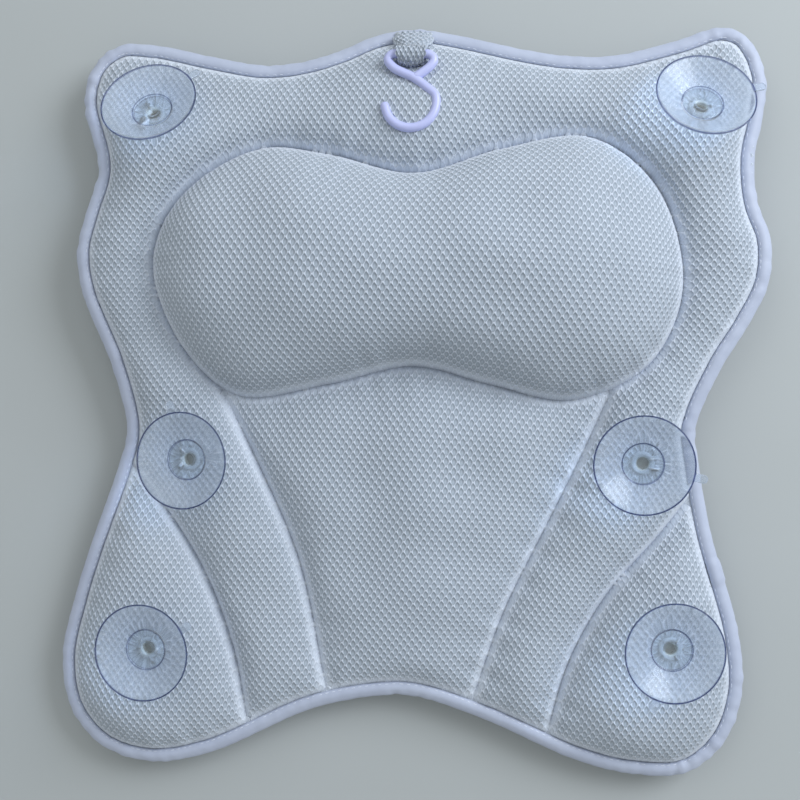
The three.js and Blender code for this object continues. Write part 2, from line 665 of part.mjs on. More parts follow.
const rimSteps = closeSteps(outline, true, RIM_STEP);
const loopEdge = nearest(rimSteps, flat(LOOP_CENTRE_X, PILLOW_LENGTH));
const wireY = loopEdge.y - TAPE_THICKNESS - TAPE_WIDTH - CLEARANCE - LOOP_SETBACK;
const boreRadius = HOOK_WIRE / 2 + CLEARANCE;
const foldRadius = boreRadius + LOOP_LAYER;
const across = Array.from({ length: LOOP_STEPS + 1 }, (_, k) => LOOP_WIDTH * (k / LOOP_STEPS - 1 / 2));
const tapeTop = marginHeight + CLEARANCE + TAPE_THICKNESS;
function groundHeight(p) {
  const onTape = nearest(rimSteps, p).distanceTo(p) < TAPE_THICKNESS + TAPE_WIDTH + 2 * CLEARANCE;
  return Math.max(backHeight(p), onTape ? seamHeight(p) + tapeTop : -Infinity);
}
function underLoop(y) {
  const grounds = across.map((x) => groundHeight(flat(LOOP_CENTRE_X + x, y)));
  return Math.max(...grounds) + CLEARANCE;
}
const wireZ = Math.max(...Array.from({ length: 2 * LOOP_STEPS + 1 }, (_, k) => {
  const away = foldRadius * (k / LOOP_STEPS - 1);
  return underLoop(wireY + away) + Math.sqrt(foldRadius ** 2 - away ** 2);
}));

function hookPath() {
  const bowl = Array.from({ length: BOWL_STEPS + 1 }, (_, k) => {
    const turn = radians(BOWL_START_DEGREES + ((BOWL_END_DEGREES - BOWL_START_DEGREES) * k) / BOWL_STEPS);
    const sideways = HOOK_BOWL_OFFSET + HOOK_BOWL_RADIUS * Math.cos(turn);
    return [sideways, -HOOK_BOWL_DROP - HOOK_BOWL_RADIUS * Math.sin(turn)];
  });
  const eye = EYE_SHARES.map(([x, y]) => [x * HOOK_EYE_HALF, y * HOOK_EYE_DEPTH]);
  const shank = [SHANK_SHARES[0] * HOOK_BOWL_RADIUS, SHANK_SHARES[1] * HOOK_BOWL_DROP];
  const points = [...eye, shank, ...bowl].map(([x, y]) => new THREE.Vector3(x, y, 0));
  return new THREE.CatmullRomCurve3(points, false, 'centripetal');
}

function hook() {
  const section = new THREE.Shape(polygon(HOOK_WIRE / 2, HOOK_SIDES));
  const path = hookPath();
  const along = { steps: HOOK_STEPS, extrudePath: path, bevelEnabled: false };
  const wire = new THREE.ExtrudeGeometry(section, along);
  const tip = new THREE.SphereGeometry(HOOK_WIRE / 2, HOOK_SIDES, HOOK_SIDES - 2);
  const end = path.getPoint(1);
  tip.translate(end.x, end.y, end.z);
  return geometryOf(solidOf(wire).add(solidOf(tip)));
}

// The least tilt at which the hook, lying on the pillow, clears the cover
function hookTilt() {
  const lifts = hookPath().getSpacedPoints(HOOK_STEPS).filter((p) => p.y < -foldRadius).map((p) => {
    const around = across.map((x) => LOOP_CENTRE_X + p.x + (x * HOOK_WIRE) / LOOP_WIDTH);
    const grounds = around.map((x) => backHeight(flat(x, wireY + p.y)));
    return Math.atan2(Math.max(...grounds) + CLEARANCE + HOOK_WIRE / 2 - wireZ, -p.y);
  });
  return Math.max(...lifts);
}

// The loop: a folded strip that holds the wire and runs out over the bound edge
function hangingLoop() {
  const end = loopEdge.y;
  const under = [];
  for (let k = 0; k <= LOOP_STEPS; k++) {
    const y = wireY + ((end - wireY) * k) / LOOP_STEPS;
    under.push([y - wireY, underLoop(y) - wireZ]);
  }
  const shape = new THREE.Shape();
  for (let k = 0; k <= FOLD_STEPS; k++) {
    const turn = radians(FOLD_START_DEGREES + ((FOLD_END_DEGREES - FOLD_START_DEGREES) * k) / FOLD_STEPS);
    shape[k ? 'lineTo' : 'moveTo'](foldRadius * Math.cos(turn), foldRadius * Math.sin(turn));
  }
  for (const [y, z] of under.slice(1)) shape.lineTo(y, z);
  const over = under.slice(1).reverse().map(([y, z]) => [y, z + 2 * LOOP_LAYER + CLEARANCE]);
  for (const [y, z] of over) if (y > foldRadius) shape.lineTo(y, z);
  shape.closePath();
  shape.holes.push(new THREE.Path(polygon(boreRadius / Math.cos(Math.PI / ROUND_SIDES), ROUND_SIDES)));
  const strip = new THREE.ExtrudeGeometry(shape, { depth: LOOP_WIDTH, bevelEnabled: false });
  strip.translate(0, 0, -LOOP_WIDTH / 2);
  strip.applyMatrix4(new THREE.Matrix4().makeBasis(
    new THREE.Vector3(0, 1, 0), new THREE.Vector3(0, 0, 1), new THREE.Vector3(1, 0, 0),
  ));
  return strip;
}

// A cup about its axis, standing on its eyelet's rim, with the sealing lip level on top
function cupBody() {
  const lipRadius = CUP_RADIUS - CUP_LIP;
  const depthAt = (share) => CUP_HOLLOW_DEPTH * BELL_DEPTH_SHARE * Math.sin((Math.PI / 2) * share);
  const bell = (radius, wall) => BELL_SHARES.map(
    (share) => [radius - (radius - CUP_BOSS_RADIUS) * share, rimTop - depthAt(share) - wall],
  );
  const outside = bell(CUP_RADIUS, CUP_WALL).slice(0, -1).reverse();
  const profile = [
    [0, headBottom], [CUP_HEAD_RADIUS * HEAD_POINT_SHARE, headBottom],
    [CUP_HEAD_RADIUS, headBottom + CUP_HEAD_HEIGHT / 2], [CUP_HEAD_RADIUS, headTop],
    [CUP_NECK_RADIUS, headTop], [CUP_NECK_RADIUS, bossBottom],
    [CUP_BOSS_RADIUS - CUP_WALL / 2, bossBottom], [CUP_BOSS_RADIUS, bossBottom + CUP_WALL / 2],
    ...outside, [CUP_RADIUS, rimTop - CUP_LIP / 2], [CUP_RADIUS, rimTop],
    [lipRadius, rimTop], ...bell(lipRadius, 0), [0, hollowFloor],
  ];
  return new THREE.LatheGeometry(profile.map(([r, z]) => flat(r, z)), ROUND_SIDES).rotateX(Math.PI / 2);
}

function cup(tabTurn) {
  const body = solidOf(cupBody());
  const half = CUP_TAB_WIDTH / 2;
  const root = CUP_RADIUS - CUP_LIP;
  const end = CUP_RADIUS + CUP_TAB_LENGTH - half;
  const shape = new THREE.Shape();
  shape.moveTo(root, -half);
  shape.lineTo(end, -half);
  shape.absarc(end, 0, half, -Math.PI / 2, Math.PI / 2, false);
  shape.lineTo(root, half);
  const solidTab = { depth: CUP_TAB_THICKNESS, bevelEnabled: false, curveSegments: TAB_STEPS };
  const tab = new THREE.ExtrudeGeometry(shape, solidTab);
  tab.translate(0, 0, rimTop - CUP_LIP / 2 - CUP_TAB_THICKNESS / 2);
  tab.rotateZ(tabTurn);
  return geometryOf(body.add(solidOf(tab)));
}

function eyelet() {
  const edge = eyeletBarrel + EYELET_FLANGE;
  const profile = [
    [eyeletBore, eyeletBottom], [edge, eyeletBottom], [edge, eyeletBottom + EYELET_WALL],
    [eyeletBarrel, eyeletBottom + EYELET_WALL], [eyeletBarrel, CLEARANCE], [edge, CLEARANCE],
    [edge, eyeletTop], [eyeletBore, eyeletTop], [eyeletBore, eyeletBottom],
  ];
  return new THREE.LatheGeometry(profile.map(([r, z]) => flat(r, z)), SMALL_SIDES).rotateX(Math.PI / 2);
}

// The pillow

const pillow = new THREE.Group();
function piece(name, geometry, finish) {
  const material = new THREE.MeshStandardMaterial({ ...FINISHES[finish], metalness: 0 });
  const mesh = new THREE.Mesh(geometry, material);
  mesh.name = name;
  pillow.add(mesh);
  return mesh;
}

piece('back_cover', backCover(), 'mesh');
piece('front_cover', frontCover(), 'mesh');
for (const name of Object.keys(CROWNS)) piece(`${name}_fill`, fill(name), 'fill');
piece('edge_binding', edgeBinding(), 'tape');
piece('hanging_loop', hangingLoop(), 'mesh').position.set(LOOP_CENTRE_X, wireY, wireZ);
const sHook = piece('s_hook', hook(), 'hook');
sHook.position.set(LOOP_CENTRE_X, wireY, wireZ);
sHook.rotation.x = -hookTilt();
for (const frame of cupFrames) {
  const matrix = cupMatrix(frame);
  piece(`eyelet_${frame.name}`, eyelet(), 'thread').applyMatrix4(matrix);
  const tabTurn = radians(frame.cup.tab);
  piece(`suction_cup_${frame.name}`, cup(tabTurn), 'cup').applyMatrix4(matrix);
}

const box = new THREE.Box3().setFromObject(pillow);
pillow.position.set(-(box.min.x + box.max.x) / 2, -(box.min.y + box.max.y) / 2, 0);

export default pillow;
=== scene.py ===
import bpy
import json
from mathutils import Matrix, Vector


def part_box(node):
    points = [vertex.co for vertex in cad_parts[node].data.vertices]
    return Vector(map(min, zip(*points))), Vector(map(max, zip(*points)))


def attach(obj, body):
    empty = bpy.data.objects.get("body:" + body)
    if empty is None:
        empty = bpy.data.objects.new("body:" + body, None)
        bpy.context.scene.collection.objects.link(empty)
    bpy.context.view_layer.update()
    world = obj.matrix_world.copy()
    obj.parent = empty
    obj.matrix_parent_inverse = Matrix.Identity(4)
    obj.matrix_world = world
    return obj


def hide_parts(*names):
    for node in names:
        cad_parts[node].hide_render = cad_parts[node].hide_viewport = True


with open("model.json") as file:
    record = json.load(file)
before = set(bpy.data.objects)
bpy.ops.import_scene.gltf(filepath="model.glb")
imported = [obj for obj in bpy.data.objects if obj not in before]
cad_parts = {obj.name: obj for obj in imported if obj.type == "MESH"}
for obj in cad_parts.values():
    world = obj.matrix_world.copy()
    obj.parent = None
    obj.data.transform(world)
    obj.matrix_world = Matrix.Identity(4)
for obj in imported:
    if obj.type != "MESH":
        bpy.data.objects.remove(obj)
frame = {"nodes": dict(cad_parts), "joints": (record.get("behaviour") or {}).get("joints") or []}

"""A bath pillow of knitted spacer mesh that lies on its front, with its six suction cups up.

Lengths are millimetres in the frame's axes until a mesh is made, and metres in Blender.
"""

import json
import logging
import math
from dataclasses import dataclass
from enum import Enum
from typing import Callable, Sequence

import bmesh
import bpy
import numpy as np
from mathutils import Matrix, Vector
from mathutils.kdtree import KDTree

Array = np.ndarray
Piece = bpy.types.Object
Pair = tuple[float, float]
LOG = logging.getLogger("bath_pillow")
MM = 0.001
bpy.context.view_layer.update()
SEED = 20
TURN = 2 * math.pi
# A cell of the knit has six corners
CORNERS = 6
# Places worked out between two knots of a curve, and the stride at which a long ring is read
CURVE_PARTS = 60
RING_STRIDE = 3
# Just inside a grid's last cell, and how near two points are one
LAST_CELL = 1.001
WELD = 0.001 * MM


class Body(str, Enum):
    """The bodies of the frame that pieces ride on."""

    PILLOW = "pillow"
    HOOK = "hook"


class Face(Enum):
    """The two faces of the pillow."""

    BACK = 1
    FRONT = -1


# Places of the sewn lines, as shares of half the pillow's width and half its length
OUTLINE_SHARES = (
    (0.811, -0.052), (0.877, 0.109), (0.94, 0.21), (0.996, 0.325), (1, 0.438), (0.961, 0.539),
    (0.951, 0.651), (0.972, 0.758), (0.979, 0.872), (0.925, 0.975), (0.852, 1), (0.725, 0.962),
    (0.551, 0.92), (0.422, 0.918), (0.31, 0.932), (0.093, 0.974), (-0.018, 0.987), (-0.128, 0.969),
    (-0.231, 0.927), (-0.334, 0.897), (-0.449, 0.886), (-0.596, 0.908), (-0.778, 0.942),
    (-0.89, 0.942), (-0.965, 0.885), (-0.989, 0.782), (-0.933, 0.595), (-0.962, 0.483),
    (-0.986, 0.377), (-0.967, 0.264), (-0.87, 0.061), (-0.823, -0.105), (-0.844, -0.194),
    (-0.924, -0.417), (-0.968, -0.561), (-1, -0.725), (-0.968, -0.868), (-0.87, -0.965),
    (-0.722, -1), (-0.547, -0.967), (-0.246, -0.833), (-0.046, -0.789), (0.044, -0.787),
    (0.24, -0.836), (0.506, -0.93), (0.664, -0.958), (0.817, -0.947), (0.919, -0.864),
    (0.965, -0.736), (0.952, -0.583), (0.864, -0.316), (0.822, -0.132),
)
ROLL_SEAM_SHARES = (
    (0.756, 0.356), (0.673, 0.574), (0.489, 0.695), (0.237, 0.657), (0, 0.589), (-0.245, 0.637),
    (-0.45, 0.65), (-0.679, 0.513), (-0.749, 0.338), (-0.65, 0.114), (-0.486, -0.004),
    (-0.224, 0.033), (0.017, 0.086), (0.23, 0.045), (0.456, 0.011), (0.65, 0.09), (0.735, 0.21),
)
CHANNEL_SHARES = (
    ((-0.545, 0.02), (-0.418, -0.199), (-0.301, -0.436), (-0.216, -0.76)),
    ((0.575, 0.045), (0.5, -0.12), (0.399, -0.328), (0.294, -0.544), (0.217, -0.77)),
    ((-0.79, -0.2), (-0.704, -0.303), (-0.58, -0.474), (-0.484, -0.685), (-0.453, -0.85)),
    ((0.79, -0.23), (0.708, -0.343), (0.588, -0.479), (0.482, -0.666), (0.432, -0.85)),
)
LAP_SHARES = (0.91, -0.45)


@dataclass(frozen=True)
class Pad:
    """One compartment of the pillow.

    Attributes:
        name: its name in the CAD model's fill nodes.
        crown: how far its back stands above its seams.
        inside_shares: a place inside it, as shares of half the pillow's sizes.
    """

    name: str
    crown: float
    inside_shares: Pair


PADS = (
    Pad("neck_roll", 36, (0, 0.34)),
    Pad("frame", 15, (0, 0.76)),
    Pad("centre", 15, (0, -0.35)),
    Pad("left_wing", 17, (-0.7, -0.65)),
    Pad("right_wing", 17, (0.72, -0.6)),
)


def frame_joint(body: str) -> dict:
    """The joint that a body moves on."""
    return next(joint for joint in frame["joints"] if joint["child"] == body)


@dataclass(frozen=True)
class CupPlace:
    """Where a suction cup stands.

    Attributes:
        name: its name in the frame's nodes.
        shares: its place, as shares of half the pillow's sizes.
        tab: which way its pull tab points, in degrees about its axis.
    """

    name: str
    shares: Pair
    tab: float

    @property
    def joint(self) -> dict:
        """The joint that the cup spins on."""
        return frame_joint(f"cup_{self.name}")

    @property
    def place(self) -> Array:
        """The middle of its seat on the cover."""
        return np.array(self.joint["pos_m"]) / MM

    @property
    def axis(self) -> Array:
        """Its axis, out of the pillow."""
        return np.array(self.joint["axis"])

    def matrix(self) -> Matrix:
        """Where a cup or eyelet made about Z goes, in metres."""
        turn = Vector((0, 0, 1)).rotation_difference(Vector(self.axis)).to_matrix().to_4x4()
        return Matrix.Translation(Vector(self.place * MM)) @ turn


CUPS = (
    CupPlace("upper_left", (-0.74, 0.719), 40),
    CupPlace("upper_right", (0.779, 0.754), 14),
    CupPlace("middle_left", (-0.608, -0.175), 103),
    CupPlace("middle_right", (0.654, -0.143), -11),
    CupPlace("lower_left", (-0.708, -0.671), 32),
    CupPlace("lower_right", (0.743, -0.607), 250),
)


def smooth_curve(points: Sequence, closed: bool, spacing: float) -> Array:
    """Evenly spaced places on the smooth curve through a few points.

    Args:
        points: the points that it passes through.
        closed: whether it joins up with its start.
        spacing: about how far apart the places are.

    Returns:
        The places, one a row. A closed curve's start isn't repeated.
    """
    knots = np.array(points, float)
    count = len(knots)
    if closed:
        padded = np.vstack([knots[-1:], knots, knots[:2]])
    else:
        padded = np.vstack([2 * knots[0] - knots[1], knots, 2 * knots[-1] - knots[-2]])
    fine = []
    share = np.linspace(0, 1, CURVE_PARTS, endpoint=False)[:, None]
    for k in range(count if closed else count - 1):
        before, start, end, after = padded[k:k + 4]
        gaps = [np.sqrt(np.linalg.norm(b - a)) for a, b in ((before, start), (start, end), (end, after))]
        out = (start - before) / gaps[0] - (end - before) / (gaps[0] + gaps[1]) + (end - start) / gaps[1]
        into = (end - start) / gaps[1] - (after - start) / (gaps[1] + gaps[2]) + (after - end) / gaps[2]
        out, into = out * gaps[1], into * gaps[1]
        bend = -3 * start + 3 * end - 2 * out - into
        twist = 2 * start - 2 * end + out + into
        fine.append(start + out * share + bend * share**2 + twist * share**3)
    fine.append(knots[:1] if closed else knots[-1:])
    return spaced(np.vstack(fine), spacing)[:-1 if closed else None]


def spaced(line: Array, spacing: float) -> Array:
    """Spreads places evenly along a line.

    Args:
        line: the line's own places.
        spacing: about how far apart the new ones are.

    Returns:
        The new places, with the line's two ends among them.
    """
    run = np.concatenate([[0], np.cumsum(np.linalg.norm(np.diff(line, axis=0), axis=1))])
    wanted = np.linspace(0, run[-1], max(2, round(run[-1] / spacing) + 1))
    return np.stack([np.interp(wanted, run, line[:, k]) for k in range(line.shape[1])], axis=1)


def left_of(line: Array, closed: bool) -> Array:
    """Works out which way is left of a flat line.

    Args:
        line: the line's places.
        closed: whether it joins up with its start.

    Returns:
        The unit way to the left at each place.
    """
    if closed:
        along = np.roll(line, -1, axis=0) - np.roll(line, 1, axis=0)
    else:
        along = np.gradient(line, axis=0)
    along /= np.linalg.norm(along, axis=1, keepdims=True)
    return np.stack([-along[:, 1], along[:, 0]], axis=1)


def inside_ring(ring: Array, places: Array) -> Array:
    """Finds the places inside a closed ring.

    Args:
        ring: the ring's places, closely spaced.
        places: the places that are asked about.

    Returns:
        Whether each place lies inside.
    """
    ring = ring[::RING_STRIDE]
    inside = np.zeros(len(places), bool)
    for a, b in zip(ring, np.roll(ring, -1, axis=0)):
        if a[1] == b[1]:
            continue
        spans = (a[1] > places[:, 1]) != (b[1] > places[:, 1])
        crossing = (b[0] - a[0]) * (places[:, 1] - a[1]) / (b[1] - a[1]) + a[0]
        inside ^= spans & (places[:, 0] < crossing)
    return inside


def smooth_step(low: float, high: float, value: Array) -> Array:
    """0 below low, 1 above high and a smooth rise between."""
    share = np.clip((value - low) / (high - low), 0, 1)
    return share * share * (3 - 2 * share)


def bilinear(grid: Array, rows: Array, columns: Array) -> Array:
    """Reads a grid between its places.

    Args:
        grid: the values, row by row.
        rows: the fractional row of each place that is read.
        columns: its fractional column.

    Returns:
        The values, held at the grid's edges.
    """
    rows = np.clip(rows, 0, grid.shape[0] - LAST_CELL)
    columns = np.clip(columns, 0, grid.shape[1] - LAST_CELL)
    i, j = rows.astype(int), columns.astype(int)
    u, v = rows - i, columns - j
    near = grid[i, j] * (1 - v) + grid[i, j + 1] * v
    far = grid[i + 1, j] * (1 - v) + grid[i + 1, j + 1] * v
    return near * (1 - u) + far * u


@dataclass
class CuttingPattern:
    """The sewn lines of the pillow, in the frame's X and Y."""

    width: float = 371.0
    length: float = 402.0
    tape_thickness: float = 1.2
    tape_width: float = 6.1
    clearance: float = 0.3
    step: float = 1.0

    def __post_init__(self) -> None:
        """Draws the lines from their shares."""
        halves = np.array([self.width, self.length]) / 2
        self.shift = np.mean([cup.place[:2] - cup.shares * halves for cup in CUPS], axis=0)
        self.outline = self._line(OUTLINE_SHARES, True)
        inward = left_of(self.outline, True)
        self.cover_edge = self.outline + inward * (self.tape_thickness + self.clearance)
        self.edge_seam = self.outline + inward * (self.tape_thickness + self.tape_width + self.clearance)
        self.roll_seam = self._line(ROLL_SEAM_SHARES, True)
        ends = np.vstack([self.edge_seam, self.roll_seam])
        self.channels = []
        for shares in CHANNEL_SHARES:
            points = self.at(shares)
            for end in (0, -1):
                points[end] = ends[np.argmin(np.linalg.norm(ends - points[end], axis=1))]
            self.channels.append(smooth_curve(points, False, self.step))

    def at(self, shares: Sequence) -> Array:
        """Places given as shares of half the pillow's sizes."""
        return np.array(shares) * np.array([self.width, self.length]) / 2 + self.shift

    def _line(self, shares: Sequence, closed: bool) -> Array:
        """A sewn line through places given as shares."""
        return smooth_curve(self.at(shares), closed, self.step)

    def seams(self) -> list[tuple[Array, bool]]:
        """Every line that the covers are sewn along, and whether it is closed."""
        return [(self.edge_seam, True), (self.roll_seam, True)] + [(c, False) for c in self.channels]


@dataclass
class PillowForm:
    """Heights of the pillow's two faces: every pad crowned between its seams.

    The puckers beside the seams and the lumps of the fill are sums of waves. A cup's seat leans as
    its joint does, is flat within the first radius of seat_flat and has faded at the second.
    """

    pattern: CuttingPattern
    cover: float = 2.6
    edge_lift: float = 12.0
    bow_rise: float = 16.0
    bow_spread: Pair = (220.0, 110.0)
    bow_centre_y: float = 75.0
    rest_flat_depth: float = 0.5
    flat_softness: float = 0.6
    seam_probe: float = 3.0
    crease_radius: float = 0.35
    pucker: float = 0.55
    pucker_fades: Pair = (1.5, 8.0)
    pucker_lengths: Pair = (9.0, 24.0)
    lump: float = 0.8
    lump_lengths: Pair = (35.0, 90.0)
    wave_count: int = 14
    lean_spread: float = 20.0
    lean_fade: float = 6.0
    seat_radius: float = 9.5
    seat_probes: int = 12
    seat_flat: Pair = (9.0, 14.5)
    grid_step: float = 1.5
    grid_margin: float = 12.0
    solve_rounds: int = 420
    over_relaxation: float = 1.975
    seam_step: float = 0.3
    seam_half: float = 0.75

    def __post_init__(self) -> None:
        """Plumps the compartments and works out how the cover leans with each cup."""
        self.margin = self.pattern.clearance / 2 + self.cover
        half = np.array([self.pattern.width, self.pattern.length]) / 2 + self.grid_margin
        self.counts = np.ceil(2 * half / self.grid_step).astype(int)
        self.low = self.pattern.shift - self.counts * self.grid_step / 2
        self._index_seams()
        self._plump()
        self._lean()

    def grid_places(self) -> Array:
        """Every place of the grid, row by row."""
        x = self.low[0] + np.arange(self.counts[0]) * self.grid_step
        y = self.low[1] + np.arange(self.counts[1]) * self.grid_step
        return np.stack([g.ravel() for g in np.meshgrid(x, y)], axis=1)

    def _rows_columns(self, places: Array) -> tuple[Array, Array]:
        """The fractional row and column of each place."""
        column, row = ((places - self.low) / self.grid_step).T
        return row, column

    def _index_seams(self) -> None:
        """Builds the tree that finds the nearest place on a seam."""
        runs = [
            spaced(np.vstack([line, line[:1]]) if closed else line, self.seam_step)
            for line, closed in self.pattern.seams()
        ]
        self.seam_points = np.vstack(runs)
        self.seam_ways = np.vstack([left_of(run, False) for run in runs])
        self.tree = KDTree(len(self.seam_points))
        for index, point in enumerate(self.seam_points):
            self.tree.insert((point[0], point[1], 0), index)
        self.tree.balance()

    def seam_gap(self, places: Array) -> tuple[Array, Array]:
        """How far each place is from its nearest seam, and that seam place's index."""
        found = [self.tree.find((x, y, 0))[1:] for x, y in places]
        return np.array([d for _, d in found]), np.array([i for i, _ in found])

    def _plump(self) -> None:
        """Blows a membrane up in every compartment and keeps its ratio to the seams' distance."""
        places = self.grid_places()
        shape = (self.counts[1], self.counts[0])
        gap, nearest = self.seam_gap(places)
        inside = inside_ring(self.pattern.edge_seam, places)
        sewn = ~inside | (gap < self.grid_step * self.seam_half)
        self.labels = np.full(shape, -1)
        open_cells = ~sewn.reshape(shape)
        for number, pad in enumerate(PADS):
            start = np.round(np.array(self._rows_columns(self.pattern.at([pad.inside_shares])))[:, 0])
            self._flood(open_cells, tuple(start.astype(int)), number)
        height = np.zeros(shape)
        rows, columns = np.indices(shape)
        free = self.labels >= 0
        free[[0, -1], :] = free[:, [0, -1]] = False
        turns = [free[1:-1, 1:-1] & ((rows + columns)[1:-1, 1:-1] % 2 == k) for k in (0, 1)]
        for _ in range(self.solve_rounds):
            for turn in turns:
                beside = height[1:-1, :-2] + height[1:-1, 2:] + height[:-2, 1:-1] + height[2:, 1:-1]
                change = (beside + self.grid_step**2) / 4 - height[1:-1, 1:-1]
                height[1:-1, 1:-1] += self.over_relaxation * change * turn
        gap = gap.reshape(shape)
        self.ratios, self.crown_scales, self.front_scales = [], [], []
        level = self.seam_height(places).reshape(shape)
        for number, pad in enumerate(PADS):
            own = (self.labels == number) & (gap > self.seam_probe)
            self.ratios.append(self._spread(np.where(own, height / np.maximum(gap, 1), np.nan)))
            fullness = np.sqrt(height[own])
            self.crown_scales.append(pad.crown / fullness.max())
            room = level[own] - self.margin + self.rest_flat_depth
            self.front_scales.append(np.min(room / np.maximum(fullness, fullness.max() / 2)))
        self.crown_scales = np.array(self.crown_scales + [0.0])
        self.front_scales = np.array(self.front_scales + [0.0])

    def _flood(self, open_cells: Array, start: tuple[int, int], number: int) -> None:
        """Labels the compartment that holds a cell.

        Args:
            open_cells: which cells of the grid no seam crosses.
            start: row and column of a cell inside the compartment.
            number: the compartment's label.
        """
        reached = np.zeros(open_cells.shape, bool)
        reached[start] = True
        while True:
            wider = reached.copy()
            wider[1:] |= reached[:-1]
            wider[:-1] |= reached[1:]
            wider[:, 1:] |= reached[:, :-1]
            wider[:, :-1] |= reached[:, 1:]
            wider &= open_cells
            if (wider == reached).all():
                break
            reached = wider
        self.labels[reached] = number

    def _spread(self, grid: Array) -> Array:
        """Fills a grid's empty places from their neighbours, for a few rows round.

        Args:
            grid: the values, with no number where a place is empty.

        Returns:
            The filled grid, with nought where nothing is near.
        """
        filled = grid.copy()
        rounds = round(3 * self.seam_probe / self.grid_step) + 2
        for _ in range(rounds):
            padded = np.pad(filled, 1, constant_values=np.nan)
            around = [padded[1 + a:padded.shape[0] - 1 + a, 1 + b:padded.shape[1] - 1 + b]
                      for a in (-1, 0, 1) for b in (-1, 0, 1)]
            known = np.sum([~np.isnan(g) for g in around], axis=0)
            total = np.sum([np.nan_to_num(g) for g in around], axis=0)
            new = np.isnan(filled) & (known > 0)
            filled[new] = total[new] / known[new]
        return np.nan_to_num(filled)

    def seam_height(self, places: Array) -> Array:
        """Works out how high the covers are sewn together.

        Args:
            places: X and Y of each place.

        Returns:
            The height of the seams' bowed plane there.
        """
        across = places[:, 0] - self.pattern.shift[0]
        along = places[:, 1] - self.pattern.shift[1] - self.bow_centre_y
        spread = (across / self.bow_spread[0]) ** 2 + (along / self.bow_spread[1]) ** 2
        return self.edge_lift + self.bow_rise * np.exp(-spread)

    def _fullness(self, places: Array) -> tuple[Array, Array]:
        """Works out how plump the membrane is.

        Args:
            places: X and Y of each place.

        Returns:
            Each place's compartment and how plump the membrane is there.
        """
        gap, index = self.seam_gap(places)
        point, way = self.seam_points[index], self.seam_ways[index]
        side = np.sign(((places - point) * way).sum(axis=1))
        beside = point + way * (side * self.seam_probe)[:, None]
        probe = np.where((gap > self.seam_probe)[:, None], places, beside)
        rows, columns = (np.round(v).astype(int) for v in self._rows_columns(probe))
        rows = np.clip(rows, 0, self.labels.shape[0] - 1)
        columns = np.clip(columns, 0, self.labels.shape[1] - 1)
        label = self.labels[rows, columns]
        soft_gap = np.sqrt(gap**2 + self.crease_radius**2) - self.crease_radius
        fullness = np.zeros(len(places))
        for number in range(len(PADS)):
            own = label == number
            ratio = bilinear(self.ratios[number], *self._rows_columns(places[own]))
            fullness[own] = np.sqrt(np.maximum(ratio * soft_gap[own], 0))
        return label, fullness

    def _natural_back(self, places: Array) -> Array:
        """Height of the back before it leans with the cups."""
        label, fullness = self._fullness(places)
        return self.seam_height(places) + self.margin + self.crown_scales[label] * fullness

    def _lean(self) -> None:
        """Works out how much further the cover slopes round each cup than it does by itself."""
        self.seats = []
        turns = np.linspace(0, TURN, self.seat_probes, endpoint=False)
        ring = np.stack([np.cos(turns), np.sin(turns)], axis=1) * self.seat_radius
        for cup in CUPS:
            centre, axis = cup.place[:2], cup.axis
            heights = self._natural_back(centre + ring)
            natural = 2 * (ring * (heights - heights.mean())[:, None]).mean(axis=0) / self.seat_radius**2
            slope = -axis[:2] / axis[2]
            level = self._natural_back(centre[None])[0]
            self.seats.append((centre, cup.place[2], slope, slope - natural, cup.place[2] - level))

    def back(self, places: Array) -> Array:
        """Works out the back, with its puckers and the seats of the cups.

        Args:
            places: X and Y of each place.

        Returns:
            The height of the back cover's outer face there.
        """
        gap, index = self.seam_gap(places)
        height = self._natural_back(places) + self._puckers(places, gap, index)
        fade = smooth_step(0, self.lean_fade, gap)
        for centre, _, _, extra, lift in self.seats:
            away = places - centre
            near = np.exp(-(away**2).sum(axis=1) / (2 * self.lean_spread**2))
            height += (away @ extra + lift) * near * fade
        for centre, level, slope, _, _ in self.seats:
            away = places - centre
            flat = 1 - smooth_step(*self.seat_flat, np.linalg.norm(away, axis=1))
            height += (level + away @ slope - height) * flat
        return height

    def _puckers(self, places: Array, gap: Array, index: Array) -> Array:
        """Works out the small gathers beside the seams and the soft lumps of the fill.

        Args:
            places: X and Y of each place.
            gap: how far each place is from its nearest seam.
            index: that seam place's number.

        Returns:
            How much higher the back is at each place.
        """
        rng = np.random.default_rng(SEED)
        inside = self.labels[tuple(np.round(v).astype(int) for v in self._held(places))] >= 0
        run = index * self.seam_step
        near, far = self.pucker_fades
        gathers, lumps = np.zeros(len(places)), np.zeros(len(places))
        for _ in range(self.wave_count):
            gathers += np.sin(TURN * (run / rng.uniform(*self.pucker_lengths) + rng.random()))
            way, length = rng.uniform(0, math.pi), rng.uniform(*self.lump_lengths)
            along = places @ np.array([math.cos(way), math.sin(way)])
            lumps += np.sin(TURN * (along / length + rng.random()))
        gathers *= self.pucker * (1 - np.exp(-gap / near)) * np.exp(-gap / far)
        lumps *= self.lump * smooth_step(0, 2 * far, gap)
        return (gathers + lumps) * inside / math.sqrt(self.wave_count)

    def _held(self, places: Array) -> tuple[Array, Array]:
        """The fractional row and column of each place, held inside the grid."""
        rows, columns = self._rows_columns(places)
        return np.clip(rows, 0, self.labels.shape[0] - 1), np.clip(columns, 0, self.labels.shape[1] - 1)

    def front(self, places: Array) -> Array:
        """Works out the front, which the surface under it flattens.

        Args:
            places: X and Y of each place.

        Returns:
            The height of the front cover's outer face there.
        """
        label, fullness = self._fullness(places)
        height = self.seam_height(places) - self.margin - self.front_scales[label] * fullness
        soft = self.flat_softness
        return soft * np.logaddexp(0, height / soft) - soft * math.log(2) * np.exp(-np.abs(height) / soft)

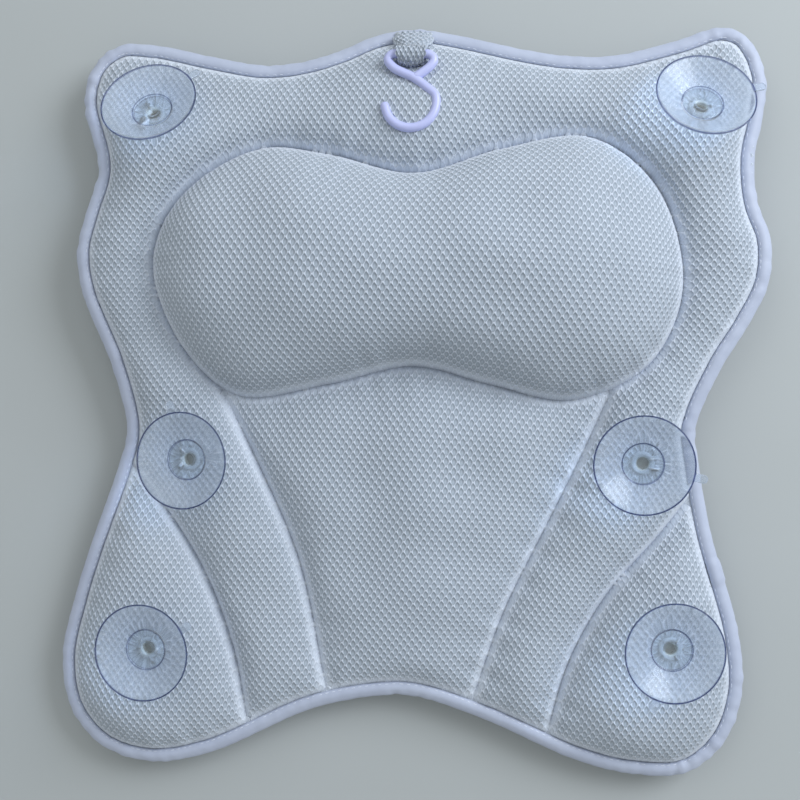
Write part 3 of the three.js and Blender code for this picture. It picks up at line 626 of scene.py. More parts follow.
    def height(self, face: Face, places: Array) -> Array:
        """Height of one face's outside at each place."""
        return self.back(places) if face is Face.BACK else self.front(places)


@dataclass
class DrapedNet:
    """A net of even meshes laid over one face, so that the knit keeps its size on the slopes."""

    form: PillowForm
    face: Face
    spacing: float = 5.0
    reach_shares: Pair = (1.34, 1.26)
    rounds: int = 420
    diagonal_weight: float = 0.35
    pull: float = 1.4
    fewest_places: int = 20
    edge_hold: float = 1.01

    def __post_init__(self) -> None:
        """Lays the net and lets its threads pull even."""
        pattern = self.form.pattern
        halves = np.array([pattern.width, pattern.length]) / 2 * np.array(self.reach_shares)
        self.counts = (np.ceil(halves / self.spacing)).astype(int)
        places = self.form.grid_places()
        shape = (self.form.counts[1], self.form.counts[0])
        self.grid = self.form.height(self.face, places).reshape(shape)
        inside = inside_ring(pattern.outline, places).reshape(shape)
        x = self._unroll(np.gradient(self.grid, self.form.grid_step, axis=1), inside, 0)
        y = self._unroll(np.gradient(self.grid, self.form.grid_step, axis=0), inside, 1)
        self.x, self.y = np.meshgrid(x, y)
        self._relax()

    def _unroll(self, slope: Array, inside: Array, axis: int) -> Array:
        """Lays the net's columns or rows from the mean slope across them.

        Args:
            slope: the face's slope at each place of the grid.
            inside: which places lie on the pillow.
            axis: 0 for the columns, 1 for the rows.

        Returns:
            The X of each column, or the Y of each row.
        """
        stretch = np.where(inside, np.sqrt(1 + slope**2), 1)
        total = (stretch * inside).sum(axis=axis) / np.maximum(inside.sum(axis=axis), 1)
        mean = np.where(inside.sum(axis=axis) > self.fewest_places, total, 1)
        run = np.concatenate([[0], np.cumsum((mean[1:] + mean[:-1]) / 2)]) * self.form.grid_step
        middle = len(run) // 2
        wanted = (np.arange(-self.counts[axis], self.counts[axis] + 1)) * self.spacing
        place = self.form.low[axis] + np.arange(len(run)) * self.form.grid_step
        along = run - run[middle]
        low, high = along[0], along[-1]
        inner = np.interp(wanted, along, place)
        return inner + np.minimum(wanted - low, 0) + np.maximum(wanted - high, 0)

    def _relax(self) -> None:
        """Moves every knot along the face until the threads have their own length."""
        form, low = self.form, self.form.low
        points = np.stack([self.x, self.y], axis=2)
        links = (((0, 1), 1.0, 1.0), ((1, 0), 1.0, 1.0), ((1, 1), math.sqrt(2), self.diagonal_weight),
                 ((1, -1), math.sqrt(2), self.diagonal_weight))
        weight = 2 * sum(w for _, _, w in links)
        for _ in range(self.rounds):
            rows = (points[..., 1] - low[1]) / form.grid_step
            columns = (points[..., 0] - low[0]) / form.grid_step
            height = bilinear(self.grid, rows, columns)
            push = np.zeros_like(points)
            for (down, right), times, share in links:
                a = (slice(0, points.shape[0] - down), slice(max(0, -right), points.shape[1] - max(0, right)))
                b = (slice(down, None), slice(max(0, right), points.shape[1] + min(0, right)))
                gap = points[b] - points[a]
                length = np.sqrt((gap**2).sum(axis=2) + (height[b] - height[a]) ** 2)
                move = gap * (share * (1 - self.spacing * times / length))[..., None]
                push[a] += move
                push[b] -= move
            points += push / weight * self.pull
        self.x, self.y = points[..., 0], points[..., 1]

    def at(self, cloth: Array) -> Array:
        """Where places of the flat cloth lie in X and Y.

        Args:
            cloth: places on the flat cloth, from its middle.

        Returns:
            Their X and Y on the pillow.
        """
        column = np.clip(cloth[:, 0] / self.spacing + self.counts[0], 1, 2 * self.counts[0] - self.edge_hold)
        row = np.clip(cloth[:, 1] / self.spacing + self.counts[1], 1, 2 * self.counts[1] - self.edge_hold)
        j, i = column.astype(int), row.astype(int)
        result = np.zeros((len(cloth), 2))
        for k, along in enumerate(self._weights(row - i)):
            for m, across in enumerate(self._weights(column - j)):
                at = (i + k - 1, j + m - 1)
                result += (along * across)[:, None] * np.stack([self.x[at], self.y[at]], axis=1)
        return result

    @staticmethod
    def _weights(u: Array) -> tuple[Array, ...]:
        """Works out how four neighbours share in a smooth curve through them.

        Args:
            u: how far each place is from its second neighbour to its third.

        Returns:
            The weight of each neighbour.
        """
        return (
            (-u + 2 * u**2 - u**3) / 2,
            (2 - 5 * u**2 + 3 * u**3) / 2,
            (u + 4 * u**2 - 3 * u**3) / 2,
            (-(u**2) + u**3) / 2,
        )


def new_piece(name: str, data: bpy.types.ID) -> Piece:
    """Links a mesh, a lamp or a camera into the scene as an object."""
    piece = bpy.data.objects.new(name, data)
    bpy.context.scene.collection.objects.link(piece)
    return piece


def read_points(mesh: bpy.types.Mesh) -> Array:
    """A mesh's points, in millimetres."""
    points = np.zeros(len(mesh.vertices) * 3)
    mesh.vertices.foreach_get("co", points)
    return points.reshape(-1, 3) / MM


def make_mesh(name: str, points: Array, faces: Sequence[Array]) -> Piece:
    """Makes a piece from points and groups of faces.

    Args:
        name: the piece's name.
        points: its points, in millimetres.
        faces: arrays of faces, each array with one number of corners.

    Returns:
        The new object, smoothly shaded.
    """
    mesh = bpy.data.meshes.new(name)
    mesh.vertices.add(len(points))
    mesh.vertices.foreach_set("co", (np.asarray(points) * MM).astype(np.float32).ravel())
    loops = np.concatenate([group.ravel() for group in faces]).astype(np.int32)
    totals = np.concatenate([np.full(len(group), group.shape[1]) for group in faces]).astype(np.int32)
    mesh.loops.add(len(loops))
    mesh.loops.foreach_set("vertex_index", loops)
    mesh.polygons.add(len(totals))
    mesh.polygons.foreach_set("loop_start", np.concatenate([[0], np.cumsum(totals)[:-1]]).astype(np.int32))
    mesh.polygons.foreach_set("loop_total", totals)
    mesh.polygons.foreach_set("use_smooth", np.ones(len(totals), bool))
    mesh.update(calc_edges=True)
    mesh.validate()
    return new_piece(name, mesh)


def ring_walls(first: Array, second: Array) -> Array:
    """Four-cornered faces between rings of corners and the rings beside them, all closed."""
    corners = [first, np.roll(first, -1, -1), np.roll(second, -1, -1), second]
    return np.stack(corners, axis=-1).reshape(-1, len(corners))


def set_attribute(piece: Piece, name: str, values: Array) -> None:
    """Keeps values on a piece for its material.

    Args:
        piece: the piece.
        name: what the material calls them.
        values: one number, or a row of three, for each point.
    """
    kind = "FLOAT" if values.ndim == 1 else "FLOAT_VECTOR"
    attribute = piece.data.attributes.new(name, kind, "POINT")
    attribute.data.foreach_set("value" if values.ndim == 1 else "vector", values.astype(np.float32).ravel())


def math_method(operation: str, flipped: bool = False) -> Callable:
    """Makes a method of two values that adds a Math node.

    Args:
        operation: the node's operation.
        flipped: whether the method's own socket comes second.

    Returns:
        The method.
    """
    def method(self: "Socket", other: "Value") -> "Socket":
        """This and another, through the Math node."""
        return self.math(operation, *((other, self) if flipped else (self, other)))

    return method


class Socket:
    """A shader socket that takes part in sums."""

    __add__ = __radd__ = math_method("ADD")
    __mul__ = __rmul__ = math_method("MULTIPLY")
    __sub__, __rsub__ = math_method("SUBTRACT"), math_method("SUBTRACT", flipped=True)
    __truediv__, __pow__ = math_method("DIVIDE"), math_method("POWER")
    least, most = math_method("MINIMUM"), math_method("MAXIMUM")

    def __init__(self, nodes: "ShaderNodes", socket: bpy.types.NodeSocket | None) -> None:
        """Keeps the socket and the tree that it belongs to."""
        self.nodes = nodes
        self.socket = socket

    def math(self, operation: str, *values: "Value") -> "Socket":
        """Adds a Math node."""
        return self.nodes.add("ShaderNodeMath", {"operation": operation}, dict(enumerate(values)))

    def clamp(self) -> "Socket":
        """This, held from 0 to 1."""
        return self.nodes.add("ShaderNodeClamp", {}, {"Value": self})

    def swing(self, amount: float) -> "Socket":
        """How far this is above a half, times an amount."""
        return (self - 0.5) * amount

    def from_half(self) -> "Socket":
        """How far this is from the nearest half between two whole numbers."""
        return (self.math("FRACT", self) - 0.5).size()

    def sine(self) -> "Socket":
        """The sine of this."""
        return self.math("SINE", self)

    def size(self) -> "Socket":
        """This without its sign."""
        return self.math("ABSOLUTE", self)


Value = Socket | float | tuple


class ShaderNodes:
    """Builds a material's nodes."""

    def __init__(self, name: str) -> None:
        """Starts a material with an empty tree.

        Args:
            name: the material's name.
        """
        self.material = bpy.data.materials.new(name)
        self.material.use_nodes = True
        self.tree = self.material.node_tree
        self.tree.nodes.clear()

    def add(self, kind: str, settings: dict | None = None, inputs: dict | None = None,
            output: int | str = 0) -> Socket:
        """Adds one node.

        Args:
            kind: the node's type.
            settings: its own settings, set first.
            inputs: values or links for its sockets, by name or number.
            output: the name or number of the socket that is given back.

        Returns:
            The node's output.
        """
        node = self.tree.nodes.new(kind)
        for key, value in (settings or {}).items():
            setattr(node, key, value)
        for key, value in (inputs or {}).items():
            if isinstance(value, Socket):
                self.tree.links.new(value.socket, node.inputs[key])
            else:
                node.inputs[key].default_value = value
        return Socket(self, node.outputs[output] if node.outputs else None)

    def attribute(self, name: str, output: str = "Fac") -> Socket:
        """A value that is kept for each point."""
        return self.add("ShaderNodeAttribute", {"attribute_name": name}, output=output)

    def place(self) -> Socket:
        """Object coordinates."""
        return self.add("ShaderNodeTexCoord", output="Object")

    def split(self, vector: Socket) -> list[Socket]:
        """The X and Y of a vector."""
        return [self.add("ShaderNodeSeparateXYZ", {}, {0: vector}, output=part) for part in "XY"]

    def noise(self, vector: Socket, scale: float, detail: float = 2.0, roughness: float = 0.5) -> Socket:
        """Cloudy noise from 0 to 1."""
        values = {"Vector": vector, "Scale": scale, "Detail": detail, "Roughness": roughness}
        return self.add("ShaderNodeTexNoise", {}, values)

    def mix(self, share: Value, first: Value, second: Value) -> Socket:
        """A colour between two others."""
        values = {"Factor": share, 6: first, 7: second}
        return self.add("ShaderNodeMix", {"data_type": "RGBA"}, values, output=2)

    def bump(self, height: Socket, distance: float, strength: float, normal: Socket | None = None) -> Socket:
        """Bends the normal by a height.

        Args:
            height: the height.
            distance: how high 1 stands, in metres.
            strength: how much of it is used.
            normal: the normal that it starts from, if not the mesh's own.

        Returns:
            The new normal.
        """
        values = {"Height": height, "Distance": distance, "Strength": strength}
        if normal is not None:
            values["Normal"] = normal
        return self.add("ShaderNodeBump", {}, values)

    def principled(self, values: dict) -> Socket:
        """A Principled shader."""
        return self.add("ShaderNodeBsdfPrincipled", {}, values)

    def finish(self, shader: Socket) -> bpy.types.Material:
        """Sends a shader out and gives the material back."""
        self.add("ShaderNodeOutputMaterial", {}, {"Surface": shader})
        return self.material


@dataclass(frozen=True)
class KnitFinish:
    """Matte white spacer mesh: thin pale strands round pits darkened by painted shade.

    Pits are measured in cells. A noise is its scale, detail and roughness, and a relief is its height in
    metres and its strength. The gathered colour is a paler band beside each seam, partly the knit gathered
    there with its pits closed and partly painted light.
    """

    name: str = "knitted_spacer_mesh"
    strand: tuple = (0.59, 0.645, 0.75, 1)
    # painted shade: the colour in each pit, where the knit's inner layers lie in shade
    pit: tuple = (0.32, 0.372, 0.445, 1)
    # a paler band beside each seam: partly the gathered knit, whose pits close there, and partly painted
    # light on the slopes beside the seam
    gathered: tuple = (0.72, 0.78, 0.89, 1)
    gathered_and_lit_share: float = 1.5
    pit_halves: Pair = (0.3, 0.445)
    pit_roundness: float = 2.0
    crispness: float = 3.0
    closed_share: float = 0.4
    # the painted pit shade is lifted towards each pit's middle, painted light on its floor
    floor_start: float = 0.45
    floor_rise: float = 2.5
    floor_painted_light: float = 0.3
    roughness: float = 0.78
    sheen: float = 0.25
    specular: float = 0.3
    clouds: tuple = (38, 3)
    cloud_share: float = 0.14
    yarn: tuple = (8.5, 4, 0.65)
    yarn_share: float = 0.2
    yarn_wander: float = 0.5
    yarn_relief: Pair = (0.00014, 0.7)

    def material(self) -> bpy.types.Material:
        """Builds the material from the piece's own knit coordinates.

        Returns:
            The material.
        """
        n = ShaderNodes(self.name)
        knit = n.attribute("knit", "Vector")
        clouds, yarn = n.noise(n.place(), *self.clouds), n.noise(knit, *self.yarn)
        across, along = n.split(knit)
        lens = self._lens(across + 0.5, along + 0.5).least(self._lens(across, along))
        # hollow is the painted shade of every pit, lifted at its middle and weaker where a pit is pressed or
        # closed
        hollow = ((1 - lens + yarn.swing(self.yarn_wander)) * self.crispness + 0.5).clamp()
        hollow = hollow * (1 - ((self.floor_start - lens) * self.floor_rise).clamp() * self.floor_painted_light)
        crease = n.attribute("crease")
        hollow = hollow * n.attribute("pit") * (1 - crease * self.closed_share)
        shade = (hollow + clouds.swing(self.cloud_share) + yarn.swing(self.yarn_share)).clamp()
        colour = n.mix(shade, self.strand, self.pit)
        # Paler band beside each seam, partly the gathered knit and partly painted light.
        colour = n.mix(crease * (1 - crease) * self.gathered_and_lit_share, colour, self.gathered)
        return n.finish(n.principled({
            "Base Color": colour, "Roughness": self.roughness, "Sheen Weight": self.sheen,
            "Specular IOR Level": self.specular, "Normal": n.bump(yarn - hollow, *self.yarn_relief),
        }))

    def _lens(self, across: Socket, along: Socket) -> Socket:
        """A value that is 0 in the middle of every other pit and 1 at its lens-shaped edge."""
        half_width, half_length = self.pit_halves
        return across.from_half() / half_width + (along.from_half() / half_length) ** self.pit_roundness


@dataclass(frozen=True)
class TapeFinish:
    """Satin bias tape with a soft lustre and a faint diagonal weave.

    The shares are those of clouds, slubs and ribs in its shade, and how much paler it starts.
    """

    name: str = "satin_bias_tape"
    light: tuple = (0.475, 0.525, 0.655, 1)
    dark: tuple = (0.36, 0.40, 0.53, 1)
    roughness: float = 0.5
    roughness_swing: float = 0.12
    sheen: float = 0.12
    specular: float = 0.3
    rib_turns: float = 7.5
    clouds: tuple = (55, 3)
    slubs: tuple = (0.35, 3)
    shares: tuple = (0.75, 0.35, 0.12, 0.2)
    rib_relief: Pair = (0.00004, 0.5)
    slub_relief: Pair = (0.0002, 0.5)

    def material(self) -> bpy.types.Material:
        """Builds the material from the tape's own length and width.

        Returns:
            The material.
        """
        n = ShaderNodes(self.name)
        tape = n.attribute("tape", "Vector")
        along, across = n.split(tape)
        ribs = ((along + across) * self.rib_turns).sine() * 0.5 + 0.5
        clouds, slubs = n.noise(n.place(), *self.clouds), n.noise(tape, *self.slubs)
        cloud_share, slub_share, rib_share, paler = self.shares
        shade = (clouds * cloud_share + slubs * slub_share + ribs * rib_share - paler).clamp()
        return n.finish(n.principled({
            "Base Color": n.mix(shade, self.light, self.dark), "Sheen Weight": self.sheen,
            "Roughness": self.roughness + slubs.swing(self.roughness_swing),
            "Specular IOR Level": self.specular,
            "Normal": n.bump(ribs, *self.rib_relief, n.bump(slubs, *self.slub_relief)),
        }))


@dataclass(frozen=True)
class CloudedFinish:
    """A finish of one clouded colour, with a fine grain where it has one."""

    name: str
    light: tuple
    dark: tuple
    clouds: tuple
    roughness: float
    roughness_rise: float = 0.0
    sheen: float = 0.0
    grain: tuple = ()
    relief: tuple = ()

    def material(self) -> bpy.types.Material:
        """Builds the material on object coordinates.

        Returns:
            The material.
        """
        n = ShaderNodes(self.name)
        clouds = n.noise(n.place(), *self.clouds)
        values = {
            "Base Color": n.mix(clouds, self.light, self.dark), "Sheen Weight": self.sheen,
            "Roughness": clouds * self.roughness_rise + self.roughness,
        }
        if self.grain:
            values["Normal"] = n.bump(n.noise(n.place(), *self.grain), *self.relief)
        return n.finish(n.principled(values))


@dataclass(frozen=True)
class ThreadFinish(CloudedFinish):
    """Twisted polyester thread."""

    name: str = "sewing_thread"
    light: tuple = (0.78, 0.82, 0.92, 1)
    dark: tuple = (0.50, 0.55, 0.66, 1)
    clouds: tuple = (1500, 2)
    roughness: float = 0.55
    sheen: float = 0.2
    grain: tuple = (1500, 2)
    relief: tuple = (0.00005, 0.6)


@dataclass(frozen=True)
class EyeletFinish(ThreadFinish):
    """The greyer thread of the eyelets."""

    name: str = "eyelet_thread"
    light: tuple = (0.46, 0.51, 0.58, 1)
    dark: tuple = (0.34, 0.39, 0.45, 1)


@dataclass(frozen=True)
class FillFinish(CloudedFinish):
    """Loose polyester fibre."""

    name: str = "polyester_fill"
    light: tuple = (0.86, 0.86, 0.84, 1)
    dark: tuple = (0.68, 0.68, 0.66, 1)
    clouds: tuple = (90, 6, 0.7)
    roughness: float = 0.95
    grain: tuple = (90, 6, 0.7)
    relief: tuple = (0.0015, 0.8)


@dataclass(frozen=True)
class HookFinish(CloudedFinish):
    """Glossy lavender plastic with a faint moulding swirl."""

    name: str = "lavender_plastic"
    light: tuple = (0.52, 0.555, 0.86, 1)
    dark: tuple = (0.44, 0.475, 0.79, 1)
    clouds: tuple = (160, 3)
    roughness: float = 0.3
    roughness_rise: float = 0.1
    grain: tuple = (1800, 2)
    relief: tuple = (0.00002, 0.4)


@dataclass(frozen=True)
class FloorFinish(CloudedFinish):
    """Plain pale plaster."""

    name: str = "pale_floor"
    light: tuple = (0.445, 0.475, 0.495, 1)
    dark: tuple = (0.385, 0.412, 0.42, 1)
    clouds: tuple = (4, 3)
    roughness: float = 0.7


@dataclass(frozen=True)
class VinylFinish:
    """Clear vinyl with a blue cast, finely scored along the cup's radii.

    Dark lines are painted at its rim and its boss, at their distance from the cup's axis: painted shade for
    the dark edges that refraction gives there, partly also the deeper tint of the thicker vinyl. The stem's
    disc is painted paler, painted light that lifts the dark showing through it from inside the pillow.
    """

    name: str = "clear_vinyl"
    clear: tuple = (0.66, 0.72, 0.80, 1)
    cloudy: tuple = (0.80, 0.85, 0.92, 1)
    # dark blue of the lines at the rim and the boss: painted shade for the dark edges that refraction gives
    # there, partly the deeper tint of the thicker vinyl
    edge: tuple = (0.09, 0.12, 0.27, 1)
    # painted light: the stem's disc is paler than the clear vinyl, lifting the dark that shows through it
    # from inside the pillow
    painted_stem_light: tuple = (0.78, 0.84, 0.85, 1)
    hub: tuple = (0.64, 0.72, 0.80, 1)
    shadow_tint: tuple = (0.88, 0.92, 0.97, 1)
    # radii, widths and strengths of the dark lines painted at the rim and the boss
    rim: float = 24.95
    rim_line: float = 0.36
    rim_core: float = 1.6
    boss: float = 10.5
    boss_line: float = 0.3
    boss_core: float = 1.4
    boss_share: float = 0.9
    hub_share: float = 0.7
    stem_radius: float = 3.7
    stem_line: float = 0.15
    scores: tuple = (9, 3, 0.6)
    score_start: float = 0.35
    score_gain: float = 2.2
    relief: Pair = (0.00012, 0.35)
    roughness: float = 0.2
    transmission: float = 0.84
    index: float = 1.2
    specular: float = 0.4
    coat: float = 0.16
    coat_index: float = 1.4
    coat_roughness: float = 0.08

    def material(self) -> bpy.types.Material:
        """Builds glass that lets the lamps' light straight through to what lies under it.

        Returns:
            The material.
        """
        n = ShaderNodes(self.name)
        radius = n.attribute("radius")
        scores = n.noise(n.attribute("spokes", "Vector"), *self.scores)
        # Painted shade: dark lines at the rim and at the boss, where refraction darkens the edges, partly the
        # thicker vinyl's deeper tint.
        rim = (self.rim_core - (radius - self.rim).size() / self.rim_line).clamp()
        boss = (self.boss_core - (radius - self.boss).size() / self.boss_line).clamp()
        # Painted light: a mask of the stem's disc, which is made paler than the clear vinyl.
        painted_stem_light = ((self.stem_radius - radius) / self.stem_line).clamp()
        colour = n.mix(((scores - self.score_start) * self.score_gain).clamp(), self.clear, self.cloudy)
        colour = n.mix(((self.boss - radius) / self.boss_line).clamp() * self.hub_share, colour, self.hub)
        colour = n.mix(painted_stem_light, colour, self.painted_stem_light)
        # Painted shade: the dark lines at the rim and the boss go over everything else.
        colour = n.mix(rim.most(boss * self.boss_share), colour, self.edge)
        glass = n.principled({
            "Base Color": colour, "Roughness": self.roughness, "Normal": n.bump(scores, *self.relief),
            "Transmission Weight": self.transmission, "IOR": self.index, "Coat Weight": self.coat,
            "Specular IOR Level": self.specular, "Coat IOR": self.coat_index,
            "Coat Roughness": self.coat_roughness,
        })
        clear = n.add("ShaderNodeBsdfTransparent", {}, {"Color": self.shadow_tint})
        shadow = n.add("ShaderNodeLightPath", output="Is Shadow Ray")
        return n.finish(n.add("ShaderNodeMixShader", {}, {0: shadow, 1: glass, 2: clear}))


def dress(piece: Piece, material: bpy.types.Material, body: str) -> Piece:
    """Finishes a piece.

    Args:
        piece: the piece.
        material: its material.
        body: the body that it rides on.

    Returns:
        The piece.
    """
    piece.data.materials.clear()
    piece.data.materials.append(material)
    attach(piece, body)
    return piece


@dataclass(frozen=True)
class PitRing:
    """One ring of a cell, on the way down from its strands to its pit's floor.

    Attributes:
        side_share: how far its side corners lie from the cell's middle, of the strands' distance.
        lean_share: how far they lie towards its tips besides, which makes the pit a tall lens.
        tip_share: how far its two tips lie from the middle.
        depth: how deep it lies under the strands.
    """

    side_share: float
    lean_share: float
    tip_share: float
    depth: float


@dataclass(frozen=True)
class KnitPattern:
    """The spacer mesh's cells: thin strands round lens-shaped pits, two cells to a repeat."""

    width: float = 4.15
    length: float = 5.05
    tip_share: float = 0.42
    turn: float = -0.8
    floor_share: float = 0.9
    nearest_tips: tuple[int, ...] = (5, 2, 2, 2, 5, 5)
    rings: tuple[PitRing, ...] = (PitRing(0.86, 0.12, 0.96, -0.04), PitRing(0.6, 0.24, 0.88, 0.28))
    least_open: float = 0.6
    corner_grid: int = 100

    def lattice(self, reach: Pair) -> tuple[Array, Array]:
        """Lays cells over the flat cloth.

        Args:
            reach: how far the cloth runs from its middle, across and along.

        Returns:
            Every corner once, and each cell's six corners anticlockwise.
        """
        columns = np.arange(-int(reach[0] / self.width), int(reach[0] / self.width) + 1)
        rows = np.arange(-int(reach[1] / self.length), int(reach[1] / self.length) + 1)
        grid = np.stack(np.meshgrid(columns, rows), axis=2).reshape(-1, 2)
        centres = np.vstack([grid, grid + 0.5]) * (self.width, self.length)
        tip = self.length * self.tip_share
        half, shoulder = self.width / 2, self.length / 2 - tip
        corners = np.array([(half, -shoulder), (half, shoulder), (0, tip),
                            (-half, shoulder), (-half, -shoulder), (0, -tip)])
        every = (centres[:, None] + corners[None]).reshape(-1, 2)
        _, first, index = np.unique(np.round(every * self.corner_grid).astype(int), axis=0,
                                    return_index=True, return_inverse=True)
        return every[first] @ self.spin(), index.reshape(-1, CORNERS)

    def spin(self) -> Array:
        """The turn of the cells' rows on the cloth."""
        turn = math.radians(self.turn)
        return np.array([[math.cos(turn), math.sin(turn)], [-math.sin(turn), math.cos(turn)]])

    @staticmethod
    def owners(cells: Array) -> tuple[Array, Array]:
        """Every cell's six edges, one a row, and how many cells have each."""
        edges = np.stack([cells, np.roll(cells, -1, axis=1)], axis=2).reshape(-1, 2)
        _, index, count = np.unique(np.sort(edges, axis=1), axis=0, return_inverse=True, return_counts=True)
        return edges, count[index.ravel()]

    @staticmethod
    def boundary(cells: Array) -> Array:
        """The edges that only one cell has."""
        edges, owners = KnitPattern.owners(cells)
        return edges[owners == 1]

    @staticmethod
    def numbered(cells: Array) -> tuple[Array, Array]:
        """The corners that some cell has, and the cells as numbers of those corners."""
        used, cells = np.unique(cells, return_inverse=True)
        return used, cells.reshape(-1, CORNERS)

    @staticmethod
    def ways(outer: Array, cells: Array) -> tuple[Array, Array]:
        """Works out which way is out of the cloth.

        Args:
            outer: the corners' places.
            cells: each cell's corners, anticlockwise seen from outside.

        Returns:
            The unit way out of each cell, and out of each corner.
        """
        corners = outer[cells]
        arms = corners - corners.mean(axis=1, keepdims=True)
        spread = np.cross(arms, np.roll(arms, -1, axis=1)).sum(axis=1)
        cell_ways = spread / np.linalg.norm(spread, axis=1, keepdims=True)
        ways = np.zeros_like(outer)
        for k in range(CORNERS):
            np.add.at(ways, cells[:, k], cell_ways)
        return cell_ways, ways / np.linalg.norm(ways, axis=1, keepdims=True)

    def knit(self, name: str, flat: Array, outer: Array, cells: Array,
             thickness: float, deepness: Array, crease: Array,
             sunk: Vector | None = None, settle: Callable | None = None) -> Piece:
        """Joins strands, pits, backing and edge into one closed mesh.

        Args:
            name: the piece's name.
            flat: the corners' places on the flat cloth.
            outer: the corners' places on the cloth's outer face.
            cells: each cell's corners, anticlockwise seen from outside.
            thickness: the cloth's thickness.
            deepness: for each cell, how deep its pit is, as a share of the rings' depths.
            crease: for each corner, how far it is drawn down into a seam, from 0 to 1.
            sunk: the way out of the cloth at a seam, where its backing lies straight below.
            settle: gives places of the rings their height on the cloth's outer face.

        Returns:
            The cloth. Each point keeps how open its pit is ("pit"), its "crease" and its flat place,
            counted in cells ("knit").
        """
        cell_ways, ways = self.ways(outer, cells)
        count = len(outer)
        if sunk is not None:
            ways = ways * (1 - crease[:, None]) + np.array(sunk) * crease[:, None]
            ways /= np.linalg.norm(ways, axis=1, keepdims=True)
        points, knit = [outer, outer - ways * thickness], [flat, flat]
        creases = [crease, np.zeros(count)]
        middle = outer[cells].mean(axis=1, keepdims=True)
        flat_middle = flat[cells].mean(axis=1, keepdims=True)
        arms, flat_arms = outer[cells] - middle, flat[cells] - flat_middle
        settle = settle or (lambda places, corners: places)
        openness = self.least_open + (1 - self.least_open) * deepness
        open_corner = np.zeros(count)
        np.maximum.at(open_corner, cells.ravel(), np.repeat(openness, CORNERS))
        open_ways = [open_corner, open_corner]
        faces, above, used = [], cells, 2 * count
        for ring in self.rings:
            shares = np.array([ring.side_share, ring.side_share, ring.tip_share] * 2)[None, :, None]
            leans = np.array([ring.lean_share, ring.lean_share, 0] * 2)[None, :, None]
            drop = cell_ways[:, None] * (ring.depth * deepness)[:, None, None]
            places = middle + arms * shares + arms[:, self.nearest_tips] * leans
            flats = flat_middle + flat_arms * shares + flat_arms[:, self.nearest_tips] * leans
            points.append((settle(places, outer[cells]) - drop).reshape(-1, 3))
            knit.append(flats.reshape(-1, 2))
            open_ways.append(np.repeat(openness, CORNERS))
            creases.append(crease[cells].ravel())
            below = used + np.arange(cells.size).reshape(cells.shape)
            faces.append(ring_walls(above, below))
            above, used = below, used + cells.size
        floor_depth = self.rings[-1].depth * self.floor_share * deepness
        points.append(settle(middle, outer[cells])[:, 0] - cell_ways * floor_depth[:, None])
        knit.append(flat_middle[:, 0])
        open_ways.append(openness)
        creases.append(crease[cells].mean(axis=1))
        hub = np.repeat(used + np.arange(len(cells))[:, None], CORNERS, axis=1)
        faces.append(np.stack([above, np.roll(above, -1, 1), hub], axis=2).reshape(-1, 3))
        rim = self.boundary(cells)
        sides = np.column_stack([rim[:, 1], rim[:, 0], rim[:, 0] + count, rim[:, 1] + count])
        piece = make_mesh(name, np.vstack(points), [*faces, cells[:, ::-1] + count, sides])
        # how open each pit is, which scales the painted shade in it
        set_attribute(piece, "pit", np.concatenate(open_ways))
        set_attribute(piece, "crease", np.concatenate(creases))
        places = np.vstack(knit) @ self.spin().T / (self.width, self.length)
        set_attribute(piece, "knit", np.column_stack([places, np.zeros(len(places))]))
        return piece


